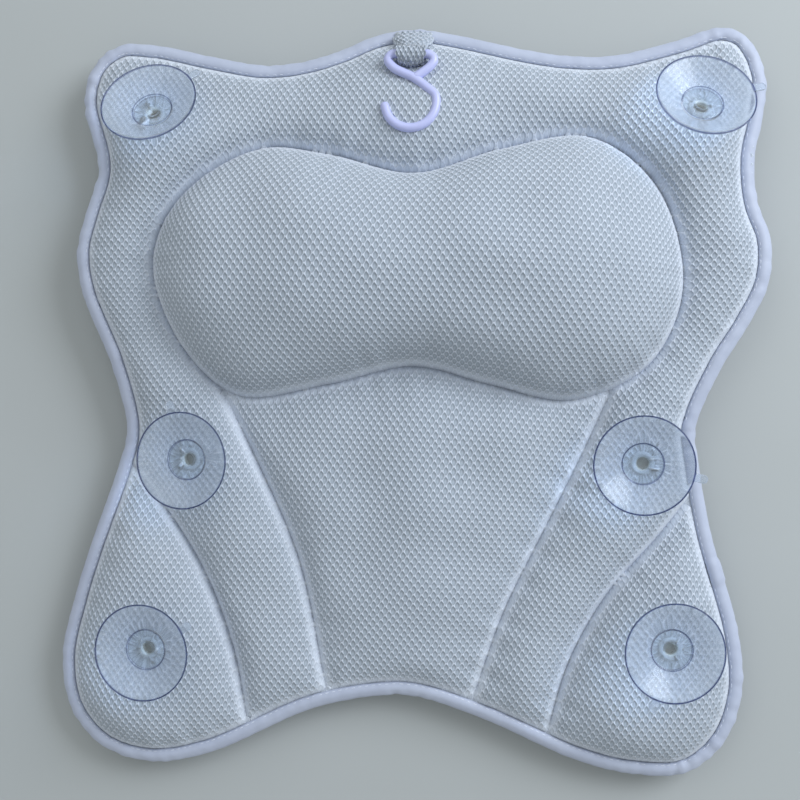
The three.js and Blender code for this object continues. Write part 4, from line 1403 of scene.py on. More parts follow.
@dataclass
class KnittedCover:
    """One cover of the pillow, cut from spacer mesh and drawn into every seam.

    Strands within crease_reach of a seam go onto it, and edges within hole_reach hole radii of a
    cup's middle go onto its hole.
    """

    form: PillowForm
    face: Face
    node: str
    knit: KnitPattern = KnitPattern()
    hole_radius: float = 4.6
    hole_reach: float = 3.0
    crease_reach: float = 1.45
    crease_share: float = 0.95
    crease_width: float = 2.2
    fold_slack: float = 0.3
    pressed: Pair = (0.3, 4.0)
    least_deep: float = 0.2
    net_margin: int = 2

    def build(self) -> Piece:
        """Knits the cover.

        Returns:
            The cover as one closed piece.
        """
        net = DrapedNet(self.form, self.face)
        flat, cells = self.knit.lattice(tuple((np.array(net.counts) - self.net_margin) * net.spacing))
        places = net.at(flat)
        used, cells = self.knit.numbered(self._cut(places, cells))
        flat, places = flat[used], places[used]
        places = self._drawn_in(self._trim_holes(places, cells))
        outer = np.column_stack([places, self.form.height(self.face, places)])
        if self.face is Face.FRONT:
            cells = np.roll(cells[:, ::-1], -1, axis=1)
        gap, _ = self.form.seam_gap(places)
        # crease also places the material's paler band beside each seam, partly painted light, and closes the
        # painted pit shade there
        crease = np.exp(-((gap / self.crease_width) ** 2))
        deepness = self._deepness(places, cells)
        piece = self.knit.knit(
            self.node + "_mesh", flat, outer, cells, self.form.cover, deepness, crease,
            Vector((0, 0, self.face.value)), self._settle,
        )
        return piece

    def _settle(self, places: Array, corners: Array) -> Array:
        """Gives places inside cells their height on the face, so that a cell follows a seam's fold.

        Args:
            places: some places inside each cell.
            corners: each cell's six corners.

        Returns:
            The places at their heights, none of them far below its cell's lowest corner.
        """
        out = self.face.value
        height = self.form.height(self.face, places[..., :2].reshape(-1, 2)).reshape(places.shape[:2])
        lowest = (out * corners[..., 2]).min(axis=1, keepdims=True) - self.fold_slack
        height = out * np.maximum(out * height, lowest)
        return np.concatenate([places[..., :2], height[..., None]], axis=2)

    def _cut(self, places: Array, cells: Array) -> Array:
        """Keeps the cells that lie wholly inside the cover's edge and clear of the cups' holes.

        Args:
            places: the corners' X and Y on the pillow.
            cells: each cell's corners.

        Returns:
            The cells that are kept.
        """
        within = inside_ring(self.form.pattern.cover_edge, places)
        cells = cells[within[cells].all(axis=1)]
        if self.face is Face.BACK:
            middles = places[cells].mean(axis=1)
            for centre, *_ in self.form.seats:
                keep = np.linalg.norm(middles - centre, axis=1) > self.hole_radius
                cells, middles = cells[keep], middles[keep]
        _, owners = self.knit.owners(cells)
        shared = (owners == 2).reshape(cells.shape).sum(axis=1)
        return cells[shared >= 2]

    def _trim_holes(self, places: Array, cells: Array) -> Array:
        """Draws the ragged edge round each cup's neck into a circle.

        Args:
            places: the corners' X and Y on the pillow.
            cells: each cell's corners.

        Returns:
            The corners' new places.
        """
        if self.face is Face.FRONT:
            return places
        places = places.copy()
        rim = np.unique(self.knit.boundary(cells))
        for centre, *_ in self.form.seats:
            away = places[rim] - centre
            distance = np.linalg.norm(away, axis=1)
            near = distance < self.hole_reach * self.hole_radius
            places[rim[near]] = centre + away[near] / distance[near, None] * self.hole_radius
        return places

    def _drawn_in(self, places: Array) -> Array:
        """Moves the strands beside a seam onto it, where the thread pulls them down.

        Args:
            places: the corners' X and Y on the pillow.

        Returns:
            The corners' new places.
        """
        gap, index = self.form.seam_gap(places)
        near = gap < self.crease_reach
        moved = places.copy()
        moved[near] += (self.form.seam_points[index[near]] - places[near]) * self.crease_share
        return moved

    def _deepness(self, places: Array, cells: Array) -> Array:
        """Presses the cells at a seam flat, as the thread and the tape do.

        Args:
            places: the corners' X and Y on the pillow.
            cells: each cell's corners.

        Returns:
            How deep each cell's pit is, as a share.
        """
        middles = places[cells].mean(axis=1)
        gap, _ = self.form.seam_gap(middles)
        inner = inside_ring(self.form.pattern.edge_seam, middles)
        rise = smooth_step(*self.pressed, np.where(inner, gap, 0))
        return self.least_deep + (1 - self.least_deep) * rise


@dataclass
class HangingLoop:
    """The knitted strip gathered over the bound edge and round the hook's wire.

    Its line and its half widths are measured from the wire, in the frame's Y, Z and X.
    """

    knit: KnitPattern = KnitPattern(
        width=3.0, length=4.2, turn=0.0,
        rings=(PitRing(0.84, 0.14, 0.95, -0.1), PitRing(0.6, 0.24, 0.8, 0.5)),
    )
    line: tuple = (
        (17.4, -14.3), (15.0, -12.5), (12.0, -9.4), (8.2, -6.0), (5.4, -3.5), (3.8, 0.2), (2.4, 2.9),
        (0, 3.8), (-2.6, 3.1), (-4.7, 1.0), (-5.7, -1.2), (-4.8, -2.7), (-2.0, -3.4), (1.5, -3.6),
        (6.0, -6.4), (12.0, -12.2), (17.6, -16.4),
    )
    half_widths: tuple = (
        (-6.5, 5.4), (-4.0, 7.4), (0, 8.3), (4.0, 7.5), (6.5, 7.7), (9.5, 10.3), (12.0, 11.2), (20.0, 8.6),
    )
    centre: float = 0.3
    flat_half: float = 10.5
    thickness: float = 1.4
    side_drop: float = 4.2
    drop_power: float = 2.6
    drop_starts: Pair = (3.4, 8.0)
    over_share: float = 0.45
    gather: float = 0.32
    gathers: float = 4.2
    gather_lean: float = 0.35
    rounding: float = 0.22
    bulge_share: float = 0.35
    trim: float = 0.3
    step: float = 0.25

    def build(self) -> Piece:
        """Knits the strip flat, then lays it along its line.

        Returns:
            The loop as one closed piece.
        """
        line = smooth_curve(self.line, False, self.step)
        half_length = (len(line) - 1) * self.step / 2
        flat, cells = self.knit.lattice((self.flat_half + self.knit.width, half_length + self.knit.length))
        limits = np.array([self.flat_half, half_length])
        kept = (np.abs(flat[cells].mean(axis=1)) < limits - self.trim).all(axis=1)
        used, cells = self.knit.numbered(cells[kept])
        flat = np.clip(flat[used], -limits, limits)
        outer = self._laid(flat, line, half_length)
        piece = self.knit.knit("hanging_loop_strip", flat, outer, cells, self.thickness,
                               np.ones(len(cells)), np.zeros(len(outer)))
        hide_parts("hanging_loop")
        return piece

    def _laid(self, flat: Array, line: Array, half_length: float) -> Array:
        """Lays places of the flat strip along its line.

        Args:
            flat: places on the strip, across and along.
            line: the strip's line in Y and Z, from the wire.
            half_length: half the line's length.

        Returns:
            The places on the strip's outer face, in the frame.
        """
        at = (half_length - flat[:, 1]) / self.step
        number = np.arange(len(line))
        out = -left_of(line, False)
        spot, out = (
            np.stack([np.interp(at, number, way[:, k]) for k in (0, 1)], axis=1) for way in (line, out)
        )
        share = flat[:, 0] / self.flat_half
        behind, widths = np.array(self.half_widths).T
        half = np.interp(spot[:, 0], behind, widths)
        drop = self.side_drop * smooth_step(*self.drop_starts, spot[:, 0]) * np.abs(share) ** self.drop_power
        drop *= at < len(line) * self.over_share
        fold = np.cos(TURN * flat[:, 0] / self.gathers + self.gather_lean * np.sin(spot[:, 0] / 2))
        spot = spot + out * (self.thickness / 2 + self.gather * fold * (1 - share**4))[:, None]
        round_front = np.where(spot[:, 0] < 0, 1 - self.rounding * share**2, 1)
        wire = frame_joint(Body.HOOK.value)["pos_m"]
        bulge = np.sin(math.pi / 2 * share) * self.bulge_share + share * (1 - self.bulge_share)
        x = self.centre + half * bulge
        return np.column_stack([x, spot[:, 0] * round_front, spot[:, 1] - drop]) + np.array(wire) / MM


@dataclass
class FibreFills:
    """The loose fills, swollen against the covers by a cloth simulation.

    The slacks are how far a fill stays from a cover, in thicknesses of the cloth.
    """

    form: PillowForm
    voxel: float = 5.0
    pressure: float = 4.0
    frames: int = 20
    most_rise: float = 8.0
    most_spread: float = 1.5
    clearance: float = 0.3
    back_slack: float = 1.6
    front_slack: float = 1.2
    least_half: float = 0.05
    head_radius: float = 7.4
    head_bottom: float = -7.3

    def build(self, material: bpy.types.Material) -> list[Piece]:
        """Makes every fill from its plain solid.

        Args:
            material: the fibre's finish.

        Returns:
            The fills.
        """
        fills = [self._start(pad) for pad in PADS]
        starts = [read_points(fill.data) for fill in fills]
        self._swell(fills)
        for pad, fill, start in zip(PADS, fills, starts):
            moved = read_points(fill.data) - start
            limits = np.array([self.most_spread, self.most_spread, self.most_rise])
            self._set_points(fill, start + np.clip(moved, -limits, limits))
            apply_modifier(fill, "SUBSURF", levels=1, render_levels=1)
            self._set_points(fill, self._fitted(read_points(fill.data)))
            fill.data.shade_smooth()
            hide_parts(f"{pad.name}_fill")
            dress(fill, material, Body.PILLOW.value)
        return fills

    def _start(self, pad: Pad) -> Piece:
        """Makes a fill's plain solid and evens its facets out.

        Args:
            pad: the fill's compartment.

        Returns:
            The fill, not swollen yet.
        """
        mesh = frame["nodes"][f"{pad.name}_fill"].data.copy()
        shape = bmesh.new()
        shape.from_mesh(mesh)
        bmesh.ops.remove_doubles(shape, verts=shape.verts, dist=WELD)
        shape.to_mesh(mesh)
        shape.free()
        mesh.materials.clear()
        fill = new_piece(f"{pad.name}_fibre", mesh)
        apply_modifier(fill, "REMESH", mode="VOXEL", voxel_size=self.voxel * MM)
        return fill

    def _swell(self, fills: Sequence[Piece]) -> None:
        """Blows the fills up as cloth, all at once, and applies the result.

        Args:
            fills: the fills.
        """
        scene = bpy.context.scene
        for fill in fills:
            cloth = fill.modifiers.new("Swell", "CLOTH")
            cloth.settings.use_pressure = True
            cloth.settings.uniform_pressure_force = self.pressure
            cloth.settings.effector_weights.gravity = 0
            cloth.point_cache.frame_end = self.frames
        for number in range(1, self.frames + 1):
            scene.frame_set(number)
        for fill in fills:
            select_only(fill)
            bpy.ops.object.modifier_apply(modifier="Swell")
        scene.frame_set(1)

    @staticmethod
    def _set_points(piece: Piece, points: Array) -> None:
        """Moves a piece's points."""
        piece.data.vertices.foreach_set("co", (points * MM).ravel())
        piece.data.update()

    def _fitted(self, points: Array) -> Array:
        """Holds a fill between the covers' inner faces and under the cups' heads.

        Args:
            points: the fill's points.

        Returns:
            The points at heights that fit.
        """
        places = points[:, :2]
        gap = self.form.cover + self.clearance
        top = self.form.back(places) - gap * self.back_slack
        bottom = self.form.front(places) + gap * self.front_slack
        for centre, level, slope, _, _ in self.form.seats:
            away = places - centre
            under = np.linalg.norm(away, axis=1) < self.head_radius
            top[under] = np.minimum(top[under], level + self.head_bottom + away[under] @ slope)
        middle = (top + bottom) / 2
        high, low = np.maximum(top, middle + self.least_half), np.minimum(bottom, middle - self.least_half)
        return np.column_stack([places, np.clip(points[:, 2], low, high)])


@dataclass
class EdgeBinding:
    """Satin tape folded over both covers' edges, with its end lapped over its start.

    The hem's corners are given from its reach and the cover, the legs' as shares of the reach and
    the fold's in degrees. The skin is how near the cover, and how deep, the inner corners lie.
    """

    form: PillowForm
    step: float = 2.0
    puff: float = 0.5
    hem: tuple = ((0, 0.05), (0.2, 0.35), (-0.35, 0.7))
    leg_shares: tuple[float, ...] = (0.85, 0.68, 0.5)
    fold_turns: tuple[float, ...] = (78, 60, 42, 22)
    fold_share: float = 0.8
    lap_length: float = 12.0
    lap_thickness: float = 0.9
    lap_ramp: float = 0.5
    lap_height: float = 1.5
    lap_out: float = 0.8
    lap_fold: float = 2.5
    skin: tuple[float, float, float] = (0.3, 0.4, 1.0)
    pucker_least: float = 0.1
    pucker_gain: float = 16.0
    pucker_most: float = 0.42
    pucker_share: float = 0.6
    pucker_waves: int = 46
    pucker_turns: tuple[int, int] = (60, 260)
    pucker_lean: float = 1.2
    bend_reach: int = 4
    stitch_length: float = 2.6
    stitch_gap: float = 0.9
    stitch_inset: float = 0.8
    stitch_rise: float = 0.72

    def _profile(self) -> Array:
        """Draws the tape's section.

        Returns:
            Its corners, as depth in from the edge and height over the seam plane.
        """
        pattern = self.form.pattern
        inner = self.form.margin + pattern.clearance
        outer = inner + pattern.tape_thickness
        reach = pattern.tape_thickness + pattern.tape_width
        top = [(reach + depth, inner + height) for depth, height in self.hem]
        top += [(reach * share, outer + self.puff * math.sin(math.pi * share)) for share in self.leg_shares]
        for turn in np.radians(self.fold_turns):
            depth = outer * self.fold_share * (1 - math.cos(turn))
            top.append((depth, outer * math.sin(turn) ** self.fold_share))
        under = [(pattern.tape_thickness, -inner), (pattern.tape_thickness, inner)]
        bottom = [(depth, -height) for depth, height in reversed(top)]
        return np.array(top + [(0, 0)] + bottom + under)

    def build(self) -> Piece:
        """Sweeps the section round the outline.

        Returns:
            The tape as one closed ring.
        """
        margin = self.form.margin
        line = smooth_curve(self.form.pattern.at(OUTLINE_SHARES), True, self.step)
        inward = left_of(line, True)
        run = np.arange(len(line)) * self.step
        profile = self._profile()
        lap_at = np.argmin(np.linalg.norm(line - self.form.pattern.at(LAP_SHARES), axis=1)) * self.step
        lap = (smooth_step(0, self.lap_ramp, run - lap_at)
               - smooth_step(0, self.lap_ramp, run - lap_at - self.lap_length)) * self.lap_thickness
        count = len(profile)
        rings = np.zeros((len(line), count, 3))
        over, beside, behind = self.skin
        for k, (place, way) in enumerate(zip(line, inward)):
            depth, height = profile[:, 0].copy(), profile[:, 1].copy()
            outside = np.abs(height) > margin + self.form.pattern.clearance + over
            height[outside] *= 1 + lap[k] / (margin + self.lap_height)
            within = (np.abs(height) <= margin + beside) & (depth > behind)
            depth[(depth < self.lap_fold) & ~within] -= lap[k] * self.lap_out
            rings[k, :, :2] = place + way * depth[:, None]
            rings[k, :, 2] = self.form.seam_height(rings[k, :, :2]) + height
        rings += self._creases(run, rings, inward)
        index = np.arange(len(line) * count).reshape(len(line), count)
        walls = ring_walls(index, np.roll(index, -1, axis=0))
        piece = make_mesh("edge_binding_tape", rings.reshape(-1, 3), [walls])
        widths = np.cumsum(np.linalg.norm(np.diff(profile, axis=0, prepend=profile[:1]), axis=1))
        along, across = np.repeat(run, count), np.tile(widths, len(run))
        set_attribute(piece, "tape", np.column_stack([along, across, np.zeros_like(along)]))
        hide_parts("edge_binding")
        return piece

    def _creases(self, run: Array, rings: Array, inward: Array) -> Array:
        """Draws small puckers that lean across the tape, deepest where the edge curves.

        Args:
            run: how far along the tape each section is.
            rings: the sections' corners.
            inward: the way in from the edge at each section.

        Returns:
            How far each corner moves.
        """
        rng = np.random.default_rng(SEED)
        corners = rings.shape[1]
        share = np.arange(corners) / corners
        total = run[-1] + self.step
        reach = self.bend_reach
        bend = np.linalg.norm(np.roll(inward, -reach, 0) - np.roll(inward, reach, 0), axis=1)
        bend /= 2 * reach * self.step
        strength = self.pucker_least + np.clip(bend * self.pucker_gain, 0, self.pucker_most)
        wave = np.zeros((len(run), corners))
        for _ in range(self.pucker_waves):
            turns = rng.integers(*self.pucker_turns)
            slant = rng.normal(0, self.pucker_lean) * share[None]
            wave += np.sin(TURN * (turns * run[:, None] / total + slant + rng.random()))
        wave /= math.sqrt(self.pucker_waves)
        out = rings - rings.mean(axis=1, keepdims=True)
        out /= np.linalg.norm(out, axis=2, keepdims=True)
        outside = np.ones(corners)
        outside[-2:] = 0
        return out * (wave * strength[:, None] * outside)[..., None] * self.pucker_share

    def stitches(self) -> Piece:
        """Sews two rows of thread, one on each face, near the tape's inner edge.

        Returns:
            Every stitch, as one piece.
        """
        pattern, form = self.form.pattern, self.form
        reach = pattern.tape_thickness + pattern.tape_width - self.stitch_inset
        height = form.margin + pattern.clearance + pattern.tape_thickness * self.stitch_rise
        line = smooth_curve(pattern.at(OUTLINE_SHARES), True, self.stitch_length + self.stitch_gap)
        spot = line + left_of(line, True) * reach
        rows = {side: np.column_stack([spot, form.seam_height(spot) + side * height]) for side in (1, -1)}
        return Stitches(self.stitch_length).sew("binding_stitches", rows)


@dataclass
class Stitches:
    """Short threads that dip into the cloth at both ends, their rise and dip in radii."""

    length: float
    radius: float = 0.22
    stations: int = 6
    around: int = 6
    end_size: float = 0.1
    rise: float = 0.9
    dip: float = 1.6

    def sew(self, name: str, rows: dict[int, Array]) -> Piece:
        """Sews rows of stitches round a closed line.

        Args:
            name: the piece's name.
            rows: each row's stitch places, by 1 for the row seen from above and -1 from below.

        Returns:
            All stitches as one piece.
        """
        points = []
        shares = np.linspace(-0.5, 0.5, self.stations)
        ends = (2 * shares) ** 4
        sizes = np.sqrt(np.clip(1 - ends, self.end_size, 1)) * self.radius
        turns = np.linspace(0, TURN, self.around, endpoint=False)
        for side, row in rows.items():
            along = np.roll(row, -1, axis=0) - row
            along /= np.linalg.norm(along, axis=1, keepdims=True)
            up = np.array([0, 0, float(side)])
            across = np.cross(along, up)
            across /= np.linalg.norm(across, axis=1, keepdims=True)
            for share, end, size in zip(shares, ends, sizes):
                middle = row + along * (share * self.length)
                middle = middle + up * (self.radius * (self.rise - self.dip * end))
                points += [middle + (across * math.cos(turn) + up * math.sin(turn)) * size for turn in turns]
        count = len(points[0])
        stack = np.stack(points).reshape(len(rows), self.stations, self.around, count, 3)
        stack = stack.transpose(0, 3, 1, 2, 4).reshape(-1, self.stations, self.around, 3)
        base = np.arange(stack[..., 0].size).reshape(stack.shape[:3])
        walls = ring_walls(base[:, 1:], base[:, :-1])
        piece = make_mesh(name, stack.reshape(-1, 3), [walls, base[:, 0], base[:, -1, ::-1]])
        recalculate(piece)
        return piece


def recalculate(piece: Piece) -> None:
    """Turns every face of a piece outwards.

    Args:
        piece: the piece.
    """
    shape = bmesh.new()
    shape.from_mesh(piece.data)
    bmesh.ops.recalc_face_normals(shape, faces=shape.faces)
    shape.to_mesh(piece.data)
    shape.free()


def deselect_all() -> None:
    """Leaves nothing selected, so that an operator acts on new work alone."""
    if bpy.context.object and bpy.context.object.mode != "OBJECT":
        bpy.ops.object.mode_set(mode="OBJECT")
    bpy.ops.object.select_all(action="DESELECT")


def select_only(piece: Piece) -> None:
    """Leaves one piece selected and active."""
    deselect_all()
    bpy.context.view_layer.objects.active = piece
    piece.select_set(True)


def apply_modifier(piece: Piece, kind: str, **settings: object) -> None:
    """Adds a modifier to a piece and applies it.

    Args:
        piece: the piece.
        kind: the modifier's type.
        settings: its settings.
    """
    select_only(piece)
    modifier = piece.modifiers.new(kind.title(), kind)
    for key, value in settings.items():
        setattr(modifier, key, value)
    bpy.ops.object.modifier_apply(modifier=modifier.name)


@dataclass(frozen=True)
class Station:
    """One circle of an extruded piece: its middle, its radius and its turn about Z."""

    place: tuple[float, float, float]
    radius: float
    turn: float = 0.0


class Closing(Enum):
    """How an extruded piece is closed."""

    CAPS = "NGON"
    RING = "NOTHING"


def extruded(name: str, stations: Sequence[Station], sides: int, closing: Closing = Closing.CAPS,
             upright: bool = False) -> Piece:
    """Models a piece by extruding a circle from station to station.

    Args:
        name: the piece's name.
        stations: the circles, in order.
        sides: how many sides each has.
        closing: whether its ends get caps or it runs round to its start again.
        upright: whether the circles stand across the XY plane, and don't lie flat.

    Returns:
        The piece, its faces outwards.
    """
    deselect_all()
    last, *rest = stations
    rotation = (math.pi / 2, 0, last.turn - math.pi / 2) if upright else (0, 0, 0)
    bpy.ops.mesh.primitive_circle_add(
        vertices=sides, radius=last.radius * MM, fill_type=closing.value,
        location=Vector(last.place) * MM, rotation=rotation,
    )
    piece = bpy.context.object
    piece.name = name
    bpy.ops.object.transform_apply(location=True, rotation=True)
    bpy.ops.object.mode_set(mode="EDIT")
    bpy.ops.mesh.select_mode(type="EDGE")
    bpy.ops.mesh.select_all(action="SELECT")
    for station in rest + ([last] if closing is Closing.RING else []):
        centre = Vector(station.place) * MM
        bpy.ops.mesh.extrude_edges_move(TRANSFORM_OT_translate={"value": centre - Vector(last.place) * MM})
        grow = station.radius / last.radius
        bpy.ops.transform.resize(value=(grow, grow, grow), center_override=centre)
        if station.turn != last.turn:
            bpy.ops.transform.rotate(value=last.turn - station.turn, orient_axis="Z", center_override=centre)
        last = station
    if closing is Closing.CAPS:
        bpy.ops.mesh.edge_face_add()
    bpy.ops.mesh.select_all(action="SELECT")
    if closing is Closing.RING:
        bpy.ops.mesh.remove_doubles(threshold=WELD)
    bpy.ops.mesh.normals_make_consistent(inside=False)
    bpy.ops.object.mode_set(mode="OBJECT")
    return piece


def turned(name: str, section: Sequence[Pair], sides: int,
           closing: Closing = Closing.CAPS) -> Piece:
    """Models a round piece about Z from the radius and height of each corner of its section."""
    return extruded(name, [Station((0, 0, height), radius) for radius, height in section], sides, closing)


def corners_from(radius: float, height: float, offsets: Sequence[Pair]) -> list:
    """Corners of a turned section, given from one radius and height."""
    return [(radius + out, height + up) for out, up in offsets]


@dataclass
class SuctionCup:
    """A clear cup whose neck snaps through the cover, modelled once about Z.

    The wall is the bell's thickness at its boss and at its lip. FOOT to DIMPLE are corners of the
    section, each from a radius and a height of the cup.
    """

    radius: float = 25.0
    lip: float = 1.2
    rim_top: float = 11.6
    hollow_floor: float = 4.6
    boss_bottom: float = 1.4
    boss_radius: float = 10.0
    wall: Pair = (1.9, 0.85)
    bell_rings: int = 18
    neck_radius: float = 3.2
    head_radius: float = 6.8
    head_top: float = -4.0
    head_height: float = 3.0
    dimple_radius: float = 3.65
    dimple_depth: float = 1.5
    tab_length: float = 6.5
    tab_width: float = 4.4
    tab_thickness: float = 1.2
    tab_edge: float = 0.35
    tab_sides: int = 32
    tab_root: float = 0.7
    tab_flat: float = 2.0
    tab_corner: float = 50.0
    depth_share: float = 0.96
    flare: float = 1.15
    rib: float = 0.06
    rib_reach: Pair = (4.9, 9.6)
    rib_depth: float = 1.0
    sides: int = 96
    spoke_hub: float = 0.5
    spoke_scales: Pair = (2.2, 0.012)

    FOOT = ((-2.04, 0), (-0.68, 0.35), (-0.1, 1.3), (0, 2.2))
    CROWN = ((-0.15, -0.15), (-0.6, 0))
    NECK_FOOT = ((0.5, 0), (0, 0.5))
    NECK_TOP = ((0, -0.5), (0.5, 0))
    BOSS_EDGE = ((-1.0, 0), (-0.3, 0.3), (0, 1.0))
    RIM = ((-0.1, -0.85), (0.25, -0.6), (0.3, -0.3), (0.05, -0.02), (-0.5, 0))
    MOUTH = ((0.5, 0),)
    HUB = ((0.15, 0.45), (-0.1, -0.15), (-0.35, -0.2), (-0.6, 0.05), (-1.1, 0.12))
    DIMPLE_EDGE = ((1.35, 0.05), (0.6, 0.3), (0.25, 0.34), (0, 0.1))
    DIMPLE = ((-0.12, 0.3), (-0.4, 0))

    def _bell(self, radius: float, walls: Pair) -> list[Pair]:
        """Draws the bell's nearly straight flare from its lip in to its boss.

        Args:
            radius: radius of the flare's lip.
            walls: how far it lies under the hollow's face, at its boss and at its lip.

        Returns:
            The corners' radii and heights.
        """
        depth = (self.rim_top - self.hollow_floor) * self.depth_share
        inner, outer = walls
        return [
            (radius - (radius - self.boss_radius) * share,
             self.rim_top - depth * (1 - (1 - share) ** self.flare) - outer - (inner - outer) * share)
            for share in np.linspace(0, 1, self.bell_rings)
        ]

    def section(self) -> list[Pair]:
        """Draws the whole section, from under the head up the outside and down the hollow.

        Returns:
            The corners' radii and heights.
        """
        floor, lip = self.hollow_floor, self.radius - self.lip
        return [
            *corners_from(self.head_radius, self.head_top - self.head_height, self.FOOT),
            *corners_from(self.head_radius, self.head_top, self.CROWN),
            *corners_from(self.neck_radius, self.head_top, self.NECK_FOOT),
            *corners_from(self.neck_radius, self.boss_bottom, self.NECK_TOP),
            *corners_from(self.boss_radius, self.boss_bottom, self.BOSS_EDGE),
            *self._bell(self.radius, self.wall)[::-1][1:-1],
            *corners_from(self.radius, self.rim_top, self.RIM),
            *corners_from(lip, self.rim_top, self.MOUTH), *self._bell(lip, (0, 0))[:-1],
            *corners_from(self.boss_radius, floor, self.HUB),
            *corners_from(self.dimple_radius, floor, self.DIMPLE_EDGE),
            *corners_from(self.dimple_radius, floor - self.dimple_depth, self.DIMPLE),
        ]

    def model(self) -> Piece:
        """Turns the cup, ribs its boss and joins its pull tab on.

        Returns:
            The cup about Z, its tab along X.
        """
        cup = turned("suction_cup_model", self.section(), self.sides)
        near, far = self.rib_reach
        for vertex in cup.data.vertices:
            size, turn = math.hypot(vertex.co.x, vertex.co.y) / MM, math.atan2(vertex.co.y, vertex.co.x)
            if near < size < far and vertex.co.z > (self.hollow_floor - self.rib_depth) * MM:
                vertex.co.z += self.rib * MM * (1 if round(turn / TURN * self.sides) % 2 else -1)
        tab = self._tab()
        apply_modifier(cup, "BOOLEAN", operation="UNION", object=tab, solver="EXACT")
        bpy.data.objects.remove(tab)
        recalculate(cup)
        return cup

    def _tab(self) -> Piece:
        """Draws a disc out into the rim as the pull tab, and rounds its edges.

        Returns:
            The tab.
        """
        deselect_all()
        half = self.tab_width / 2
        end = self.radius + self.tab_length - half
        height = self.rim_top - self.lip / 2
        bpy.ops.mesh.primitive_cylinder_add(
            vertices=self.tab_sides, radius=half * MM, depth=self.tab_thickness * MM, end_fill_type="NGON",
            location=(end * MM, 0, height * MM),
        )
        tab = bpy.context.object
        bpy.ops.object.transform_apply(location=True)
        bpy.ops.object.mode_set(mode="EDIT")
        shape = bmesh.from_edit_mesh(tab.data)
        bpy.ops.mesh.select_all(action="DESELECT")
        bpy.ops.mesh.select_mode(type="VERT")
        for vertex in shape.verts:
            vertex.select_set(vertex.co.x < end * MM - WELD * 10)
        bmesh.update_edit_mesh(tab.data)
        root = (self.radius - self.lip * self.tab_root) * MM
        bpy.ops.transform.resize(value=(0, 1, 1), center_override=(root, 0, height * MM))
        bpy.ops.mesh.select_all(action="SELECT")
        bpy.ops.mesh.dissolve_limited(angle_limit=math.radians(self.tab_flat))
        bpy.ops.object.mode_set(mode="OBJECT")
        apply_modifier(tab, "BEVEL", width=self.tab_edge * MM, segments=3, limit_method="ANGLE",
                       angle_limit=math.radians(self.tab_corner))
        recalculate(tab)
        return tab

    def place(self, model: Piece, cup: CupPlace, material: bpy.types.Material) -> Piece:
        """Copies the model to one cup's seat.

        Args:
            model: the cup as modelled about Z.
            cup: where it stands and which way its tab points.
            material: its finish.

        Returns:
            The placed cup.
        """
        mesh = model.data.copy()
        points = read_points(mesh)
        radius = np.hypot(points[:, 0], points[:, 1])
        round_scale, rise = self.spoke_scales
        spokes = points[:, :2] / np.maximum(radius, self.spoke_hub)[:, None] * round_scale
        mesh.transform(cup.matrix() @ Matrix.Rotation(math.radians(cup.tab), 4, "Z"))
        piece = new_piece(f"clear_cup_{cup.name}", mesh)
        set_attribute(piece, "spokes", np.column_stack([spokes, radius * rise]))
        set_attribute(piece, "radius", radius)
        mesh.shade_smooth()
        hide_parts(f"suction_cup_{cup.name}")
        return dress(piece, material, f"cup_{cup.name}")


@dataclass
class StitchedEyelet:
    """A ring of satin stitches round the hole that a cup's neck turns in.

    SHOULDER to MOUTH are corners of its upper half, each from a radius and its top.
    """

    bore: float = 3.5
    barrel: float = 4.3
    flange: float = 1.5
    top: float = 1.1
    bottom: float = -3.7
    wall: float = 0.8
    threads: int = 44
    ridge: float = 0.07
    smooth_bore: float = 0.2

    SHOULDER = ((0, -0.1),)
    EDGE = ((-0.5, -0.8), (0, -0.45), (-0.35, -0.1))
    CREST = ((0, 0.12),)
    MOUTH = ((0.35, 0), (0, -0.4))

    def model(self) -> Piece:
        """Turns the ring, then raises every other side as a thread.

        Returns:
            The eyelet about Z.
        """
        edge = self.barrel + self.flange
        upper = [
            *corners_from(self.barrel, self.top - self.wall, self.SHOULDER),
            *corners_from(edge, self.top, self.EDGE),
            *corners_from((self.bore + edge) / 2, self.top, self.CREST),
            *corners_from(self.bore, self.top, self.MOUTH),
        ]
        lower = [(r, self.bottom + self.top - z) for r, z in reversed(upper)]
        ring = turned("eyelet_model", upper + lower, 2 * self.threads, Closing.RING)
        for vertex in ring.data.vertices:
            turn = math.atan2(vertex.co.y, vertex.co.x)
            size = math.hypot(vertex.co.x, vertex.co.y)
            push = self.ridge * MM * (1 if round(turn / TURN * 2 * self.threads) % 2 else -1)
            if size > (self.bore + self.smooth_bore) * MM:
                vertex.co.z += push * (1 if vertex.co.z > (self.top + self.bottom) / 2 * MM else -1)
                vertex.co.x *= 1 + push / size
                vertex.co.y *= 1 + push / size
        return ring

    def place(self, model: Piece, cup: CupPlace, material: bpy.types.Material) -> Piece:
        """Copies the ring into one cup's hole.

        Args:
            model: the ring as modelled about Z.
            cup: where it goes.
            material: its finish.

        Returns:
            The placed eyelet.
        """
        mesh = model.data.copy()
        mesh.transform(cup.matrix())
        piece = new_piece(f"stitched_eyelet_{cup.name}", mesh)
        mesh.shade_smooth()
        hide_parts(f"eyelet_{cup.name}")
        return dress(piece, material, Body.PILLOW.value)


